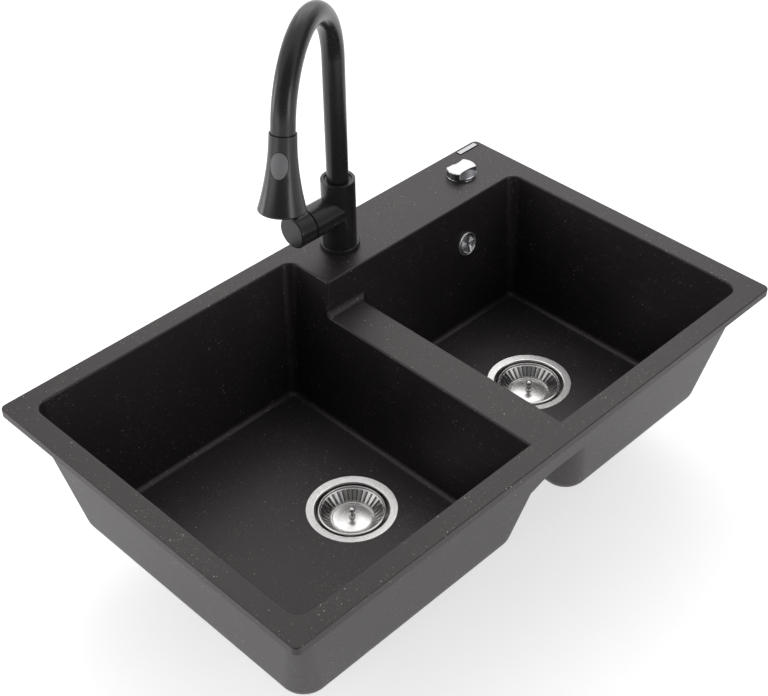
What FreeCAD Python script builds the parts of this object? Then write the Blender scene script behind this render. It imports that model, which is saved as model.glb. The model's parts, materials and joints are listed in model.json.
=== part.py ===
import FreeCAD, Part
import math
import os
from FreeCAD import Rotation, Vector

# Double bowl kitchen sink in granite composite, with a pull-out spray mixer tap, two basket wastes,
# an overflow and a rotary waste control. Millimetres. X runs to the right as seen from the front,
# Y to the back and Z up. The origin is the centre of the rim's underside, the plane of the worktop.

# ---- sink: rim and bowls -------------------------------------------------------------------
RIM_LENGTH = 800.0
RIM_WIDTH = 500.0
RIM_THICK = 10.0
RIM_CORNER_R = 8.0
RIM_EDGE_R = 1.2
BOWL_DEPTH = 180.0
WALL = 10.0
FLOOR_THICK = 8.0
LAND_WIDTH = 14.0
LAND_HIGH = 1.0
MARGIN_LEFT = 28.0
MARGIN_RIGHT = 29.0
MARGIN_FRONT = 28.0
MARGIN_BACK = 27.0
DECK_DEPTH = 97.0
BIG_BOWL_RIGHT = 20.0
SMALL_BOWL_LEFT = 58.0
DRAFT_BIG = {"left": 0.155, "right": 0.200, "front": 0.190, "back": 0.187}
DRAFT_SMALL = {"left": 0.200, "right": 0.130, "front": 0.190, "back": 0.144}
INNER_CORNER_TOP = 16.0
INNER_CORNER_FLOOR = 11.0
INNER_FLOOR_R = 8.0
OUTER_CORNER_TOP = 14.0
OUTER_CORNER_FLOOR = 36.0
OUTER_FLOOR_R = 32.0
OPENING_EDGE_R = 2.5
DIVIDER_DROP = 45.0
DIVIDER_THICK = 36.0
DIVIDER_EDGE_R = 3.0
DIVIDER_BACK_R = 8.0
WEB_COVE_R = 30.0
LEDGE_JOIN = -150.0
TRIM = 1.0
HOLE_CLEAR = 1.0

# ---- places on the sink: distances from the rim's or a bowl's edges ---------------------------
BIG_DRAIN_FROM_RIGHT = 132.0
BIG_DRAIN_FROM_FRONT = 201.0
SMALL_DRAIN_FROM_LEFT = 159.0
SMALL_DRAIN_FROM_FRONT = 201.0
TAP_FROM_LEFT = 32.0
TAP_FROM_BACK = 46.0
KNOB_FROM_RIGHT = 80.0
KNOB_FROM_BACK = 47.0
OVERFLOW_FROM_RIGHT = 131.0
OVERFLOW_DROP = 63.3
PLATE_FROM_RIGHT = 25.7
PLATE_FROM_BACK = 8.2
PLATE_SIZE = (37.5, 10.0, 0.8)
PLATE_CORNER_R = 1.0
PLATE_EDGE_R = 0.2

# ---- basket wastes -------------------------------------------------------------------------
LIP_R = 56.0
LIP_THICK = 1.2
LIP_DISH = 0.6
LIP_ROLL = 2.5
THROAT_R = 45.0
THROAT_DEPTH = 14.0
CUP_WALL = 1.2
SEAT_R = 30.0
SEAT_DEPTH = 30.0
CUP_DEPTH = 33.0
CUP_HOLES = 8
CUP_HOLE_R = 4.5
GASKET_THICK = 1.8
BODY_SEAL_THICK = 2.5
WASTE_WALL = 2.6
WASTE_HEIGHT = 40.0
WASTE_FLANGE = 4.0
WASTE_ROUND = 8.0
WASTE_ROUND_HIGH = 12.0
HUB_R = 9.0
HUB_LENGTH = 16.0
HUB_RIBS = 3
RIB_TOP = 4.0
RIB_LOW = 12.0
RIB_WIDE = 4.0
OUTLET_R = 23.9
OUTLET_LENGTH = 28.0
BASKET_RIM_R = 42.0
BASKET_TOP_DROP = 2.0
BASKET_DEPTH = 14.0
BASKET_PLATE_R = 25.5
BASKET_WALL = 1.0
BASKET_BEAD = 1.8
PLATE_DOME = 2.2
DOME_HALF_WAY = 0.75
BASKET_SLOTS = 36
SLOT_WIDTH = 1.8
PLUG_NECK = 4.0
PLUG_THICK = 3.2
PLUG_HUB_R = 11.0
PLUG_LEAN = 1.33
SEAT_GAP = 0.3
BASKET_STEM_R = 2.5
BASKET_KNOB_R = 5.0
BASKET_KNOB_HIGH = 15.0
BASKET_KNOB_FOOT_R = 4.25
BASKET_KNOB_FOOT_HIGH = 2.8
BASKET_KNOB_WAIST_R = 3.0
BASKET_KNOB_DOME = 3.5
RIVET_R = 6.0
RIVET_HIGH = 1.4
SCREW_HEAD_R = 8.5
SCREW_HEAD_HIGH = 2.6
SCREW_HEAD_ROUND = 0.8
SCREW_SHORT = 2.0
SCREW_SLOT = 1.6
SCREW_R = 4.8
LIFT_PIN_R = 2.8
PIN_COLLAR = 3.0
LIFT = 8.0
FIT = 0.1

# ---- overflow ------------------------------------------------------------------------------
ROSE_R = 16.8
ROSE_THICK = 1.4
ROSE_SECTOR_R = 13.4
ROSE_RING_WIDTH = 1.8
ROSE_SECTOR_HIGH = 1.6
ROSE_GROOVE = 1.8
ROSE_SLEEVE_R = 12.5
ROSE_SLEEVE_WALL = 2.0
SLEEVE_GRIP = 7.3
ROSE_TURN = 3.0
ELBOW_DEPTH = 26.0
ELBOW_FLANGE_R = 19.0
ELBOW_FLANGE = 3.0
ELBOW_WALL = 2.2
SPIGOT_R = 10.0
SPIGOT_SHOULDER = 2.0
SPIGOT_WALL = 2.0
SPIGOT_DROP = 1.5
SPIGOT_LENGTH = 26.0

# ---- waste control knob --------------------------------------------------------------------
KNOB_R = 20.8
KNOB_HIGH = 10.5
KNOB_FOOT = 2.5
KNOB_BASE_THICK = 1.4
KNOB_GAP = 0.4
SCALLOP_R = 55.0
SCALLOP_REACH = 10.2
KNOB_DOME = 1.2
KNOB_TURN = -2.0
KNOB_SHANK_R = 10.5
KNOB_SLEEVE = 22.0
KNOB_WASHER = 2.0
KNOB_NUT_ACROSS = 30.0
SPINDLE_R = 4.0
SPINDLE_DEPTH = 9.0
CABLE_BOX_R = 16.0
CABLE_BOX_HIGH = 26.0
CABLE_BOX_ROUND = 2.0
GLAND_R = 4.0
GLAND_LENGTH = 12.0

# ---- tap body and shank --------------------------------------------------------------------
TAP_RING_R = 26.0
TAP_RING_HIGH = 6.0
TAP_RING_CHAMFER = 1.0
TAP_BODY_R = 22.25
TAP_BODY_HIGH = 101.0
TAP_MOUTH_R = 18.0
TAP_MOUTH_DEPTH = 7.0
SOCKET_DEPTH = 19.0
SHANK_R = 16.5
SHANK_LENGTH = 58.0
HOSE_WAY_R = 6.5
INLET_R = 4.5
INLET_DEPTH = 14.0
INLET_X = 8.4
INLET_Y = 4.6
SHANK_WALL = 2.0
SHANK_GRIP = 12.0
PAD_THICK = 3.0
PLATE_THICK = 2.0
EDGE_R = 0.6
NUT_HIGH = 9.0
NUT_ACROSS = 46.0
WASHER_R = 25.0
BASE_SEAL_THICK = 1.5

# ---- tap handle ----------------------------------------------------------------------------
BOSS_HIGH = 57.0
BOSS_R = 21.5
BOSS_REACH = 54.0
SEAM = 2.0
CAP_LENGTH = 25.0
CAP_WALL = 3.0
CAP_RIM_WALL = 0.6
CAP_BEVEL = 6.0
CAP_EDGE = 2.5
SOCKET_LENGTH = 11.0
GRUB_R = 2.0
GRUB_LENGTH = 5.0
PIVOT_BACK = 18.5
CARTRIDGE_R = 17.4
CARTRIDGE_LENGTH = 26.0
CARTRIDGE_NUT_R = 19.2
CARTRIDGE_NUT_HIGH = 8.0
NUT_SET = 1.0
TURRET_R = 13.0
TURRET_BACK = 30.0
TURRET_FRONT = 50.0
STEM_WIDE = 8.0
STEM_HIGH = 6.0
STEM_PIN_R = 1.5
LEVER_R = 4.25
LEVER_ROUND = 2.5
LEVER_LENGTH = 75.0
LEVER_LEAN = 20.0
LEVER_REACH = 71.0
HANDLE_TILT = 20.0

# ---- spout and pull-out spray --------------------------------------------------------------
TUBE_R = 14.0
TUBE_WALL = 1.2
RISER_TOP = 271.0
ARCH_R = 94.5
ARCH_SWEEP = 168.0
SPOUT_AZIMUTH = 210.0
TUBE_END = 14.5
HEAD_START = 12.0
HEAD_END = 103.5
HEAD_NECK_R = 15.8
HEAD_WAIST = (28.0, 16.2)
HEAD_MIDDLE = (64.0, 19.9)
HEAD_FLARE = (100.5, 27.6)
HEAD_EDGE_R = 2.0
DOCK_CLEAR = 0.4
FACE_RECESS = 4.0
FACE_MARGIN = 3.0
AERATOR_R = 8.0
BUTTON_AZIMUTH = 215.0
BUTTON_AT = 44.0
BUTTON_WIDE = 20.0
BUTTON_TALL = 30.0
BUTTON_PROUD = 0.8
BUTTON_FLOOR = 12.0
BUTTON_GAP = 0.35
HOSE_R = 6.0
HOSE_NUT_R = 9.0
NUT_GAP = 0.5
GUIDE_START = 3.0
BUSH_DROP = 2.0
HEAD_WALL = 2.2
CORE_TOP = 18.0
CORE_R = 9.5
CORE_COLLAR = 3.0
CORE_FOOT = 2.0
FACE_SET = 0.8

# ---- derived heights -----------------------------------------------------------------------
FLOOR_Z = RIM_THICK - BOWL_DEPTH
UNDER_Z = FLOOR_Z - FLOOR_THICK
DIVIDER_Z = RIM_THICK - DIVIDER_DROP
LIP_SEAT = LIP_THICK + GASKET_THICK
BIG_BOWL = {
    "left": MARGIN_LEFT - RIM_LENGTH / 2,
    "right": BIG_BOWL_RIGHT,
    "front": MARGIN_FRONT - RIM_WIDTH / 2,
    "back": RIM_WIDTH / 2 - MARGIN_BACK,
}
SMALL_BOWL = {
    "left": SMALL_BOWL_LEFT,
    "right": RIM_LENGTH / 2 - MARGIN_RIGHT,
    "front": MARGIN_FRONT - RIM_WIDTH / 2,
    "back": RIM_WIDTH / 2 - DECK_DEPTH,
}
BIG_DRAIN = (BIG_BOWL["right"] - BIG_DRAIN_FROM_RIGHT, BIG_BOWL["front"] + BIG_DRAIN_FROM_FRONT)
SMALL_DRAIN = (SMALL_BOWL["left"] + SMALL_DRAIN_FROM_LEFT, SMALL_BOWL["front"] + SMALL_DRAIN_FROM_FRONT)
TAP_AT = (SMALL_BOWL["left"] + TAP_FROM_LEFT, RIM_WIDTH / 2 - TAP_FROM_BACK)
KNOB_AT = (RIM_LENGTH / 2 - KNOB_FROM_RIGHT, RIM_WIDTH / 2 - KNOB_FROM_BACK)
PLATE_AT = (RIM_LENGTH / 2 - PLATE_FROM_RIGHT, RIM_WIDTH / 2 - PLATE_FROM_BACK)
OVERFLOW_X = RIM_LENGTH / 2 - OVERFLOW_FROM_RIGHT
UP = Vector(0, 0, 1)
EPS = 0.01
ARC_MIDDLE = 1 - math.sqrt(0.5)


# ---- small tools ---------------------------------------------------------------------------
def outline(points):
    """Closed face in the XZ plane; a point marked "via" is the middle of an arc between its neighbours."""
    edges = []
    spots = [Vector(p[0], 0, p[1]) for p in points]
    marks = [len(p) > 2 for p in points]
    count = len(points)
    for i in range(count):
        if marks[i]:
            edges.append(Part.Arc(spots[i - 1], spots[i], spots[(i + 1) % count]).toShape())
        elif not marks[(i + 1) % count]:
            edges.append(Part.LineSegment(spots[i], spots[(i + 1) % count]).toShape())
    return Part.Face(Part.Wire(edges))


def lathe(points):
    """Solid turned about Z from a closed outline of (radius, height) points."""
    return outline(points).revolve(Vector(0, 0, 0), UP, 360)


def ring(outer, inner, low, high):
    """Flat ring between two radii and two heights."""
    return lathe([(inner, low), (outer, low), (outer, high), (inner, high)])


def rod(radius, low, high):
    """Round bar on the Z axis."""
    return Part.makeCylinder(radius, high - low, Vector(0, 0, low))


def block(x0, x1, y0, y1, z0, z1):
    """Box between two corners."""
    return Part.makeBox(x1 - x0, y1 - y0, z1 - z0, Vector(x0, y0, z0))


def put(shape, x, y, z, direction=UP):
    """Copy of a shape whose own origin goes to x, y, z and whose own Z axis points along direction."""
    placed = shape.copy()
    placed.Placement = FreeCAD.Placement(Vector(x, y, z), Rotation(UP, direction)).multiply(shape.Placement)
    return placed


def around(shape, count, start=0.0):
    """List of copies turned evenly about Z."""
    copies = []
    for i in range(count):
        copy = shape.copy()
        copy.rotate(Vector(0, 0, 0), UP, start + i * 360.0 / count)
        copies.append(copy)
    return copies


def soften(shape, radius, chosen):
    """Rounds the edges for which chosen(edge) is true."""
    edges = [edge for edge in shape.Edges if chosen(edge)]
    return shape.makeFillet(radius, edges).Solids[0]


def flat_at(z):
    """Test for edges that lie level at one height."""
    return lambda edge: abs(edge.BoundBox.ZMin - z) < EPS and abs(edge.BoundBox.ZMax - z) < EPS


def hexagon(across, low, high):
    """Six-sided bar on the Z axis, measured across its flats."""
    corner = across / math.sqrt(3)
    points = [Vector(corner * math.cos(a), corner * math.sin(a), low)
              for a in (math.radians(60 * i) for i in range(7))]
    return Part.Face(Part.makePolygon(points)).extrude(Vector(0, 0, high - low))


# ---- sink body -----------------------------------------------------------------------------
def wall_at(bowl, draft, side, z, grow):
    """Where one leaning wall of a bowl stands at height z, grown outwards from the inner face."""
    sense = {"left": 1, "front": 1, "right": -1, "back": -1}[side]
    return bowl[side] + sense * (draft[side] * (RIM_THICK - z) - grow)


def bowl_outline(bowl, draft, z, grow, radius):
    """Rounded rectangle of a bowl at one height."""
    x0, x1, y0, y1 = (wall_at(bowl, draft, side, z, grow) for side in ("left", "right", "front", "back"))
    turn = radius * ARC_MIDDLE
    corners = [(x1, y0, -1, 1), (x1, y1, -1, -1), (x0, y1, 1, -1), (x0, y0, 1, 1)]
    edges = []
    starts = []
    for i, (x, y, sx, sy) in enumerate(corners):
        along_x = Vector(x + sx * radius, y, z)
        along_y = Vector(x, y + sy * radius, z)
        middle = Vector(x + sx * turn, y + sy * turn, z)
        first, last = (along_x, along_y) if i % 2 == 0 else (along_y, along_x)
        starts.append((first, Part.Arc(first, middle, last).toShape(), last))
    for i, (_, arc, last) in enumerate(starts):
        edges.append(arc)
        edges.append(Part.LineSegment(last, starts[(i + 1) % 4][0]).toShape())
    return Part.Wire(edges)


def bowl_solid(bowl, draft, heights, grow, radii):
    """Solid between two bowl outlines."""
    outlines = [bowl_outline(bowl, draft, z, grow, r) for z, r in zip(heights, radii)]
    return Part.makeLoft(outlines, True, True)


def bowl_cavity(bowl, draft):
    """Room inside one bowl, with a rounded edge along its floor."""
    slope = (INNER_CORNER_TOP - INNER_CORNER_FLOOR) / BOWL_DEPTH
    above = RIM_THICK
    room = bowl_solid(bowl, draft, (RIM_THICK + above, FLOOR_Z), 0,
                      (INNER_CORNER_TOP + slope * above, INNER_CORNER_FLOOR))
    return soften(room, INNER_FLOOR_R, flat_at(FLOOR_Z))


def bowl_hull(bowl, draft):
    """Outside of one bowl, up to the rim's underside."""
    hull = bowl_solid(bowl, draft, (RIM_THICK / 2, UNDER_Z), WALL, (OUTER_CORNER_TOP, OUTER_CORNER_FLOOR))
    return soften(hull, OUTER_FLOOR_R, flat_at(UNDER_Z))


def divider_walls(z, grow):
    """Left and right sides of the level between the two bowls."""
    return (wall_at(BIG_BOWL, DRAFT_BIG, "right", z, grow), wall_at(SMALL_BOWL, DRAFT_SMALL, "left", z, grow))


def slab_between_ends(x0, x1, z_high, z_low, grow):
    """Block whose front and back lean like the small bowl's front and back walls."""
    levels = []
    for z in (z_high, z_low):
        y0 = wall_at(SMALL_BOWL, DRAFT_SMALL, "front", z, grow)
        y1 = wall_at(SMALL_BOWL, DRAFT_SMALL, "back", z, grow)
        corners = [Vector(x0, y0, z), Vector(x1, y0, z), Vector(x1, y1, z), Vector(x0, y1, z)]
        levels.append(Part.makePolygon(corners + corners[:1]))
    return Part.makeLoft(levels, True, True)


def pass_over_divider():
    """Room above the low divider, open to both bowls, with a rounded foot at the deck wall."""
    x0, x1 = divider_walls(DIVIDER_Z, 0)
    room = slab_between_ends(x0 - INNER_CORNER_TOP, x1 + INNER_CORNER_TOP, 2 * RIM_THICK, DIVIDER_Z, 0)
    back = wall_at(SMALL_BOWL, DRAFT_SMALL, "back", DIVIDER_Z, 0)

    def foot(edge):
        box = edge.BoundBox
        return flat_at(DIVIDER_Z)(edge) and abs(box.YMin - back) < EPS and box.YLength < EPS
    return soften(room, DIVIDER_BACK_R, foot)


def corner_widening():
    """How much the outer upright corners widen for each millimetre downwards."""
    return (OUTER_CORNER_FLOOR - OUTER_CORNER_TOP) / (RIM_THICK / 2 - UNDER_Z)


def web_cove(x_wall, low):
    """Section of the cove from the web's underside down to the big bowl's corner; it leans as that does."""
    half = math.sqrt(0.5)
    lean = half * (DRAFT_BIG["right"] + DRAFT_BIG["front"] + 2 * corner_widening()) - corner_widening()
    square = math.hypot(1, lean)
    centre = Vector(x_wall + (square - lean) * WEB_COVE_R, 0, low - WEB_COVE_R)
    touch = centre + Vector(-1, 0, lean) * (WEB_COVE_R / square)
    middle = centre + (touch - centre + Vector(0, 0, WEB_COVE_R)).normalize() * WEB_COVE_R
    inside = WALL / 2
    section = outline([(centre.x, low), (middle.x, middle.z, "via"), (touch.x, touch.z),
                       (touch.x - inside, touch.z), (x_wall - inside, low + TRIM), (centre.x, low + TRIM)])
    return section, touch.z


def divider_web():
    """Bridge of material that joins the two bowls under the divider, with a cove on the big bowl's side."""
    low = DIVIDER_Z - DIVIDER_THICK
    x0, x1 = divider_walls(low, WALL)
    overlap = OUTER_CORNER_FLOOR
    web = slab_between_ends(x0 - overlap, x1 + overlap, RIM_THICK / 2, low, WALL)
    section, foot = web_cove(x0, low)
    corner = OUTER_CORNER_TOP + corner_widening() * (RIM_THICK / 2 - low)
    turn = Vector(x0 - corner, wall_at(BIG_BOWL, DRAFT_BIG, "front", low, WALL) + corner, 0)
    section.translate(Vector(0, turn.y, 0))
    cove = section.extrude(Vector(0, RIM_WIDTH, 0)).fuse(section.revolve(turn, UP, -90))
    return web.fuse(cove.common(slab_between_ends(x0 - overlap, x1, low + TRIM, foot, WALL)))


def ledge_section(x, sense, slope):
    """Sliver of the XZ plane that rounding takes off the divider's edge; sense points into the divider."""
    lean = math.atan(slope)
    tangent = DIVIDER_EDGE_R / math.tan((math.pi / 2 + lean) / 2)
    half = (math.pi / 2 - lean) / 2

    def point(into, up):
        return Vector(x + sense * into, 0, DIVIDER_Z + up)
    low = (-tangent * math.sin(lean), -tangent * math.cos(lean))
    middle = (tangent - DIVIDER_EDGE_R * math.sin(half), DIVIDER_EDGE_R * (math.cos(half) - 1))
    corners = [point(*low), point(low[0] - TRIM, low[1]), point(low[0] - TRIM, TRIM), point(tangent, TRIM),
               point(tangent, 0)]
    lines = [Part.LineSegment(p, q).toShape() for p, q in zip(corners, corners[1:])]
    curve = Part.Arc(corners[-1], point(*middle), corners[0]).toShape()
    return Part.Face(Part.Wire(lines + [curve]))


def rounded_ledges():
    """What rounding takes off the divider's two long edges and their three curved ends."""
    trims = []
    z = DIVIDER_Z
    radius = INNER_CORNER_TOP - (INNER_CORNER_TOP - INNER_CORNER_FLOOR) * DIVIDER_DROP / BOWL_DEPTH
    front = wall_at(SMALL_BOWL, DRAFT_SMALL, "front", z, 0) + radius
    back = wall_at(SMALL_BOWL, DRAFT_SMALL, "back", z, 0) - radius
    cove = DIVIDER_BACK_R * math.tan(math.pi / 4 - math.atan(DRAFT_SMALL["back"]) / 2)
    before_cove = math.degrees(math.asin((radius - cove) / (radius + DIVIDER_EDGE_R + TRIM)))
    sides = ((BIG_BOWL, DRAFT_BIG, "right", 1), (SMALL_BOWL, DRAFT_SMALL, "left", -1))
    for bowl, draft, side, sense in sides:
        x = wall_at(bowl, draft, side, z, 0)
        section = ledge_section(x, sense, draft[side])
        last = back if bowl is SMALL_BOWL else LEDGE_JOIN
        straight = section.extrude(Vector(0, last - front, 0))
        straight.translate(Vector(0, front, 0))
        trims.append(straight)
        ends = [(front, -sense, 90)]
        if bowl is SMALL_BOWL:
            ends.append((back, sense, before_cove))
        for y, turn, sweep in ends:
            start = section.copy()
            start.translate(Vector(0, y, 0))
            trims.append(start.revolve(Vector(x - sense * radius, y, 0), Vector(0, 0, turn), sweep))
    x0, x1 = divider_walls(z, -RIM_WIDTH / 4)
    inside = slab_between_ends(x0, x1, z + TRIM, z - 2 * DIVIDER_EDGE_R, 0)
    return [trim.common(inside) for trim in trims]


def side_of_big_bowl():
    """The part of the big bowl beside the divider that lies clear of its round corners."""
    x0 = BIG_BOWL["right"] - 2 * INNER_CORNER_TOP
    shape = []
    for z in (RIM_THICK + TRIM, FLOOR_Z / 2):
        x1 = wall_at(BIG_BOWL, DRAFT_BIG, "right", z, 0)
        shape.append(Vector(x0, LEDGE_JOIN, z))
        shape.append(Vector(x1, LEDGE_JOIN, z))
    corners = [shape[0], shape[1], shape[3], shape[2], shape[0]]
    reach = BIG_BOWL["back"] - 2 * INNER_CORNER_TOP - LEDGE_JOIN
    return Part.Face(Part.makePolygon(corners)).extrude(Vector(0, reach, 0))


def deck_corner(edge):
    """Test for the edges that run from the deck's inner corner down and along the divider."""
    box = edge.BoundBox
    high = wall_at(BIG_BOWL, DRAFT_BIG, "right", RIM_THICK, 0)
    low = wall_at(BIG_BOWL, DRAFT_BIG, "right", DIVIDER_Z, 0)
    beside = box.XMin > low - EPS and box.XMax < high + EPS
    inside = (box.ZMin > DIVIDER_Z - EPS and box.YMax < SMALL_BOWL["back"] + EPS
              and box.YMin > LEDGE_JOIN - EPS)
    along = flat_at(DIVIDER_Z)(edge) and box.YLength > WALL
    down = box.ZLength > DIVIDER_BACK_R / 2 and box.YMin > 0
    return beside and inside and (along or down)


def overflow_frame():
    """Point and direction of the overflow's axis, square to the small bowl's leaning back wall."""
    z = RIM_THICK - OVERFLOW_DROP
    y = wall_at(SMALL_BOWL, DRAFT_SMALL, "back", z, 0)
    into_bowl = Vector(0, -1, DRAFT_SMALL["back"])
    into_bowl.normalize()
    return (OVERFLOW_X, y, z), into_bowl


def drilled_holes():
    """Everything that is drilled through the rim, the floors and the back wall."""
    holes = [put(rod(SHANK_R + HOLE_CLEAR, -RIM_THICK, 2 * RIM_THICK), *TAP_AT, 0),
             put(rod(KNOB_SHANK_R + HOLE_CLEAR, -RIM_THICK, 2 * RIM_THICK), *KNOB_AT, 0)]
    for x, y in (BIG_DRAIN, SMALL_DRAIN):
        hole = rod(THROAT_R + CUP_WALL + HOLE_CLEAR, -2 * FLOOR_THICK, FLOOR_THICK)
        seat = rod(LIP_R + SEAT_GAP, -LIP_SEAT, FLOOR_THICK)
        holes.append(put(hole.fuse(seat), x, y, FLOOR_Z))
    place, into_bowl = overflow_frame()
    holes.append(put(rod(ROSE_SLEEVE_R + SEAT_GAP, -2 * WALL, WALL), *place, into_bowl))
    return holes


def rounded_slab(length, width, low, high):
    """Flat slab about the origin with the rim's corner radius."""
    slab = block(-length / 2, length / 2, -width / 2, width / 2, low, high)
    return soften(slab, RIM_CORNER_R, lambda edge: edge.BoundBox.ZLength > (high - low) / 2)


def sink_body():
    """Moulded sink: rim with a sealing land round its underside, two bowls and the low divider."""
    rim = rounded_slab(RIM_LENGTH, RIM_WIDTH, 0, RIM_THICK)
    rim = soften(rim, RIM_EDGE_R, flat_at(RIM_THICK))
    rim = rim.cut(rounded_slab(RIM_LENGTH - 2 * LAND_WIDTH, RIM_WIDTH - 2 * LAND_WIDTH, -TRIM, LAND_HIGH))
    body = rim.fuse([bowl_hull(BIG_BOWL, DRAFT_BIG), bowl_hull(SMALL_BOWL, DRAFT_SMALL), divider_web()])
    body = body.cut(pass_over_divider()).cut(side_of_big_bowl()).Solids[0]
    body = soften(body, DIVIDER_EDGE_R, deck_corner)
    body = body.cut(bowl_cavity(BIG_BOWL, DRAFT_BIG)).cut(bowl_cavity(SMALL_BOWL, DRAFT_SMALL))
    body = body.cut(rounded_ledges()).removeSplitter().Solids[0]

    def opening(edge):
        box = edge.BoundBox
        inside = box.XMin > MARGIN_LEFT / 2 - RIM_LENGTH / 2 and box.XMax < RIM_LENGTH / 2 - MARGIN_RIGHT / 2
        return flat_at(RIM_THICK)(edge) and inside and abs(box.YMax) < RIM_WIDTH / 2 - MARGIN_BACK / 2
    body = soften(body, OPENING_EDGE_R, opening)
    return body.cut(drilled_holes())


def name_plate():
    length, width, thick = PLATE_SIZE
    plate = block(-length / 2, length / 2, -width / 2, width / 2, 0, thick)
    plate = soften(plate, PLATE_CORNER_R, lambda edge: edge.BoundBox.ZLength > thick / 2)
    return put(soften(plate, PLATE_EDGE_R, flat_at(thick)), *PLATE_AT, RIM_THICK)


# ---- basket waste: heights are counted from the bowl's floor -----------------------------------
def seat_radius(z):
    """Inner radius of the cup's cone at height z."""
    share = (-THROAT_DEPTH - z) / (SEAT_DEPTH - THROAT_DEPTH)
    return THROAT_R + share * (SEAT_R - THROAT_R)


def waste_flange():
    """Pressed cup: a dished lip, a straight throat, a cone that is the plug's seat and a pierced bottom."""
    wall = CUP_WALL
    neck = -THROAT_DEPTH - wall / 2
    roll = LIP_ROLL * ARC_MIDDLE
    inside = [(LIP_R, 0), (THROAT_R + LIP_ROLL, -LIP_DISH), (THROAT_R + roll, -LIP_DISH - roll, "via"),
              (THROAT_R, -LIP_DISH - LIP_ROLL), (THROAT_R, -THROAT_DEPTH), (SEAT_R, -SEAT_DEPTH),
              (SEAT_R, -CUP_DEPTH), (SCREW_R + FIT, -CUP_DEPTH)]
    outside = [(SCREW_R + FIT, -CUP_DEPTH - wall), (SEAT_R + wall, -CUP_DEPTH - wall),
               (SEAT_R + wall, -SEAT_DEPTH - wall / 2), (THROAT_R + wall, neck), (THROAT_R + wall, -LIP_SEAT),
               (THROAT_R + LIP_ROLL, -LIP_THICK - LIP_DISH), (LIP_R, -LIP_THICK)]
    cup = lathe(inside + outside)
    hole = rod(CUP_HOLE_R, -CUP_DEPTH - 2 * wall, -CUP_DEPTH + wall)
    hole.translate(Vector((SEAT_R + SCREW_HEAD_R) / 2, 0, 0))
    return cup.cut(around(hole, CUP_HOLES))


def flange_gasket():
    return ring(LIP_R, THROAT_R + LIP_ROLL + HOLE_CLEAR, -LIP_SEAT, -LIP_THICK - LIP_DISH)


def body_seal():
    inner = THROAT_R + CUP_WALL + HOLE_CLEAR
    return ring(LIP_R - TRIM, inner + TRIM, -FLOOR_THICK - BODY_SEAL_THICK, -FLOOR_THICK)


def side_pipe(radius, z, reach, azimuth):
    """Level round bar from the waste's axis outwards."""
    bar = Part.makeCylinder(radius, reach, Vector(0, 0, z), Vector(1, 0, 0))
    bar.rotate(Vector(0, 0, 0), UP, azimuth)
    return bar


def waste_body(has_overflow):
    """Moulded chamber under the bowl with the outlet, a spider for the centre screw and the side pipes."""
    top = -FLOOR_THICK - BODY_SEAL_THICK
    inner = THROAT_R + CUP_WALL + 2 * HOLE_CLEAR
    outer = inner + WASTE_WALL
    shoulder = top - WASTE_FLANGE - 2 * SPIGOT_R - SPIGOT_SHOULDER
    neck = top - WASTE_HEIGHT
    foot = neck - OUTLET_LENGTH
    shell = [(LIP_R, top), (LIP_R, top - WASTE_FLANGE), (outer, top - WASTE_FLANGE), (outer, shoulder),
             (outer - WASTE_ROUND * ARC_MIDDLE, shoulder - WASTE_ROUND_HIGH * (1 - ARC_MIDDLE), "via"),
             (outer - WASTE_ROUND, shoulder - WASTE_ROUND_HIGH), (OUTLET_R + WASTE_WALL, neck),
             (OUTLET_R, neck), (OUTLET_R, foot)]
    bore = OUTLET_R - WASTE_WALL
    room = lathe([(0, foot - TRIM), (bore, foot - TRIM), (bore, neck + WASTE_WALL),
                  (inner - WASTE_ROUND, shoulder - WASTE_ROUND), (inner, shoulder), (inner, top + TRIM),
                  (0, top + TRIM)])
    solid = lathe([(0, top)] + shell + [(0, foot)])
    body = solid.cut(room)
    hub_top = -CUP_DEPTH - CUP_WALL
    hub = rod(HUB_R, hub_top - HUB_LENGTH, hub_top)
    rib = block(0, LIP_R, -RIB_WIDE / 2, RIB_WIDE / 2, hub_top - RIB_LOW, hub_top - RIB_TOP)
    body = body.fuse([hub] + [part.common(solid) for part in around(rib, HUB_RIBS, 90)])
    if has_overflow:
        boss = SPIGOT_R + SPIGOT_SHOULDER
        root = LIP_R + HOLE_CLEAR
        level = top - WASTE_FLANGE - SPIGOT_DROP - boss
        gland_level = shoulder - WASTE_ROUND
        body = body.fuse([side_pipe(boss, level, root, 90).cut(room),
                          side_pipe(SPIGOT_R, level, root + SPIGOT_LENGTH, 90).cut(room),
                          side_pipe(GLAND_R, gland_level, outer + GLAND_LENGTH, 0).cut(room)])
        spigot_bore = side_pipe(SPIGOT_R - SPIGOT_WALL, level, root + 2 * SPIGOT_LENGTH, 90)
        gland_bore = side_pipe(GLAND_R / 2, gland_level, outer + 2 * GLAND_LENGTH, 0)
        body = body.cut([spigot_bore.cut(rod(inner - TRIM, foot, 0)), gland_bore.cut(rod(HUB_R, foot, 0))])
    return body.cut(rod(SCREW_R, hub_top - 2 * HUB_LENGTH, hub_top + TRIM))


def waste_screw(hollow):
    top = -CUP_DEPTH + SCREW_HEAD_HIGH
    screw = rod(SCREW_HEAD_R, -CUP_DEPTH, top)
    screw = soften(screw, SCREW_HEAD_ROUND, flat_at(top))
    screw = screw.fuse(rod(SCREW_R, -CUP_DEPTH - CUP_WALL - HUB_LENGTH + SCREW_SHORT, -CUP_DEPTH))
    half = SCREW_SLOT / 2
    screw = screw.cut(block(-SCREW_HEAD_R, SCREW_HEAD_R, -half, half, top - SCREW_SLOT, top + TRIM))
    if hollow:
        screw = screw.cut(rod(LIFT_PIN_R + FIT, -CUP_DEPTH - 2 * HUB_LENGTH, top + TRIM))
    return screw


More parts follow.
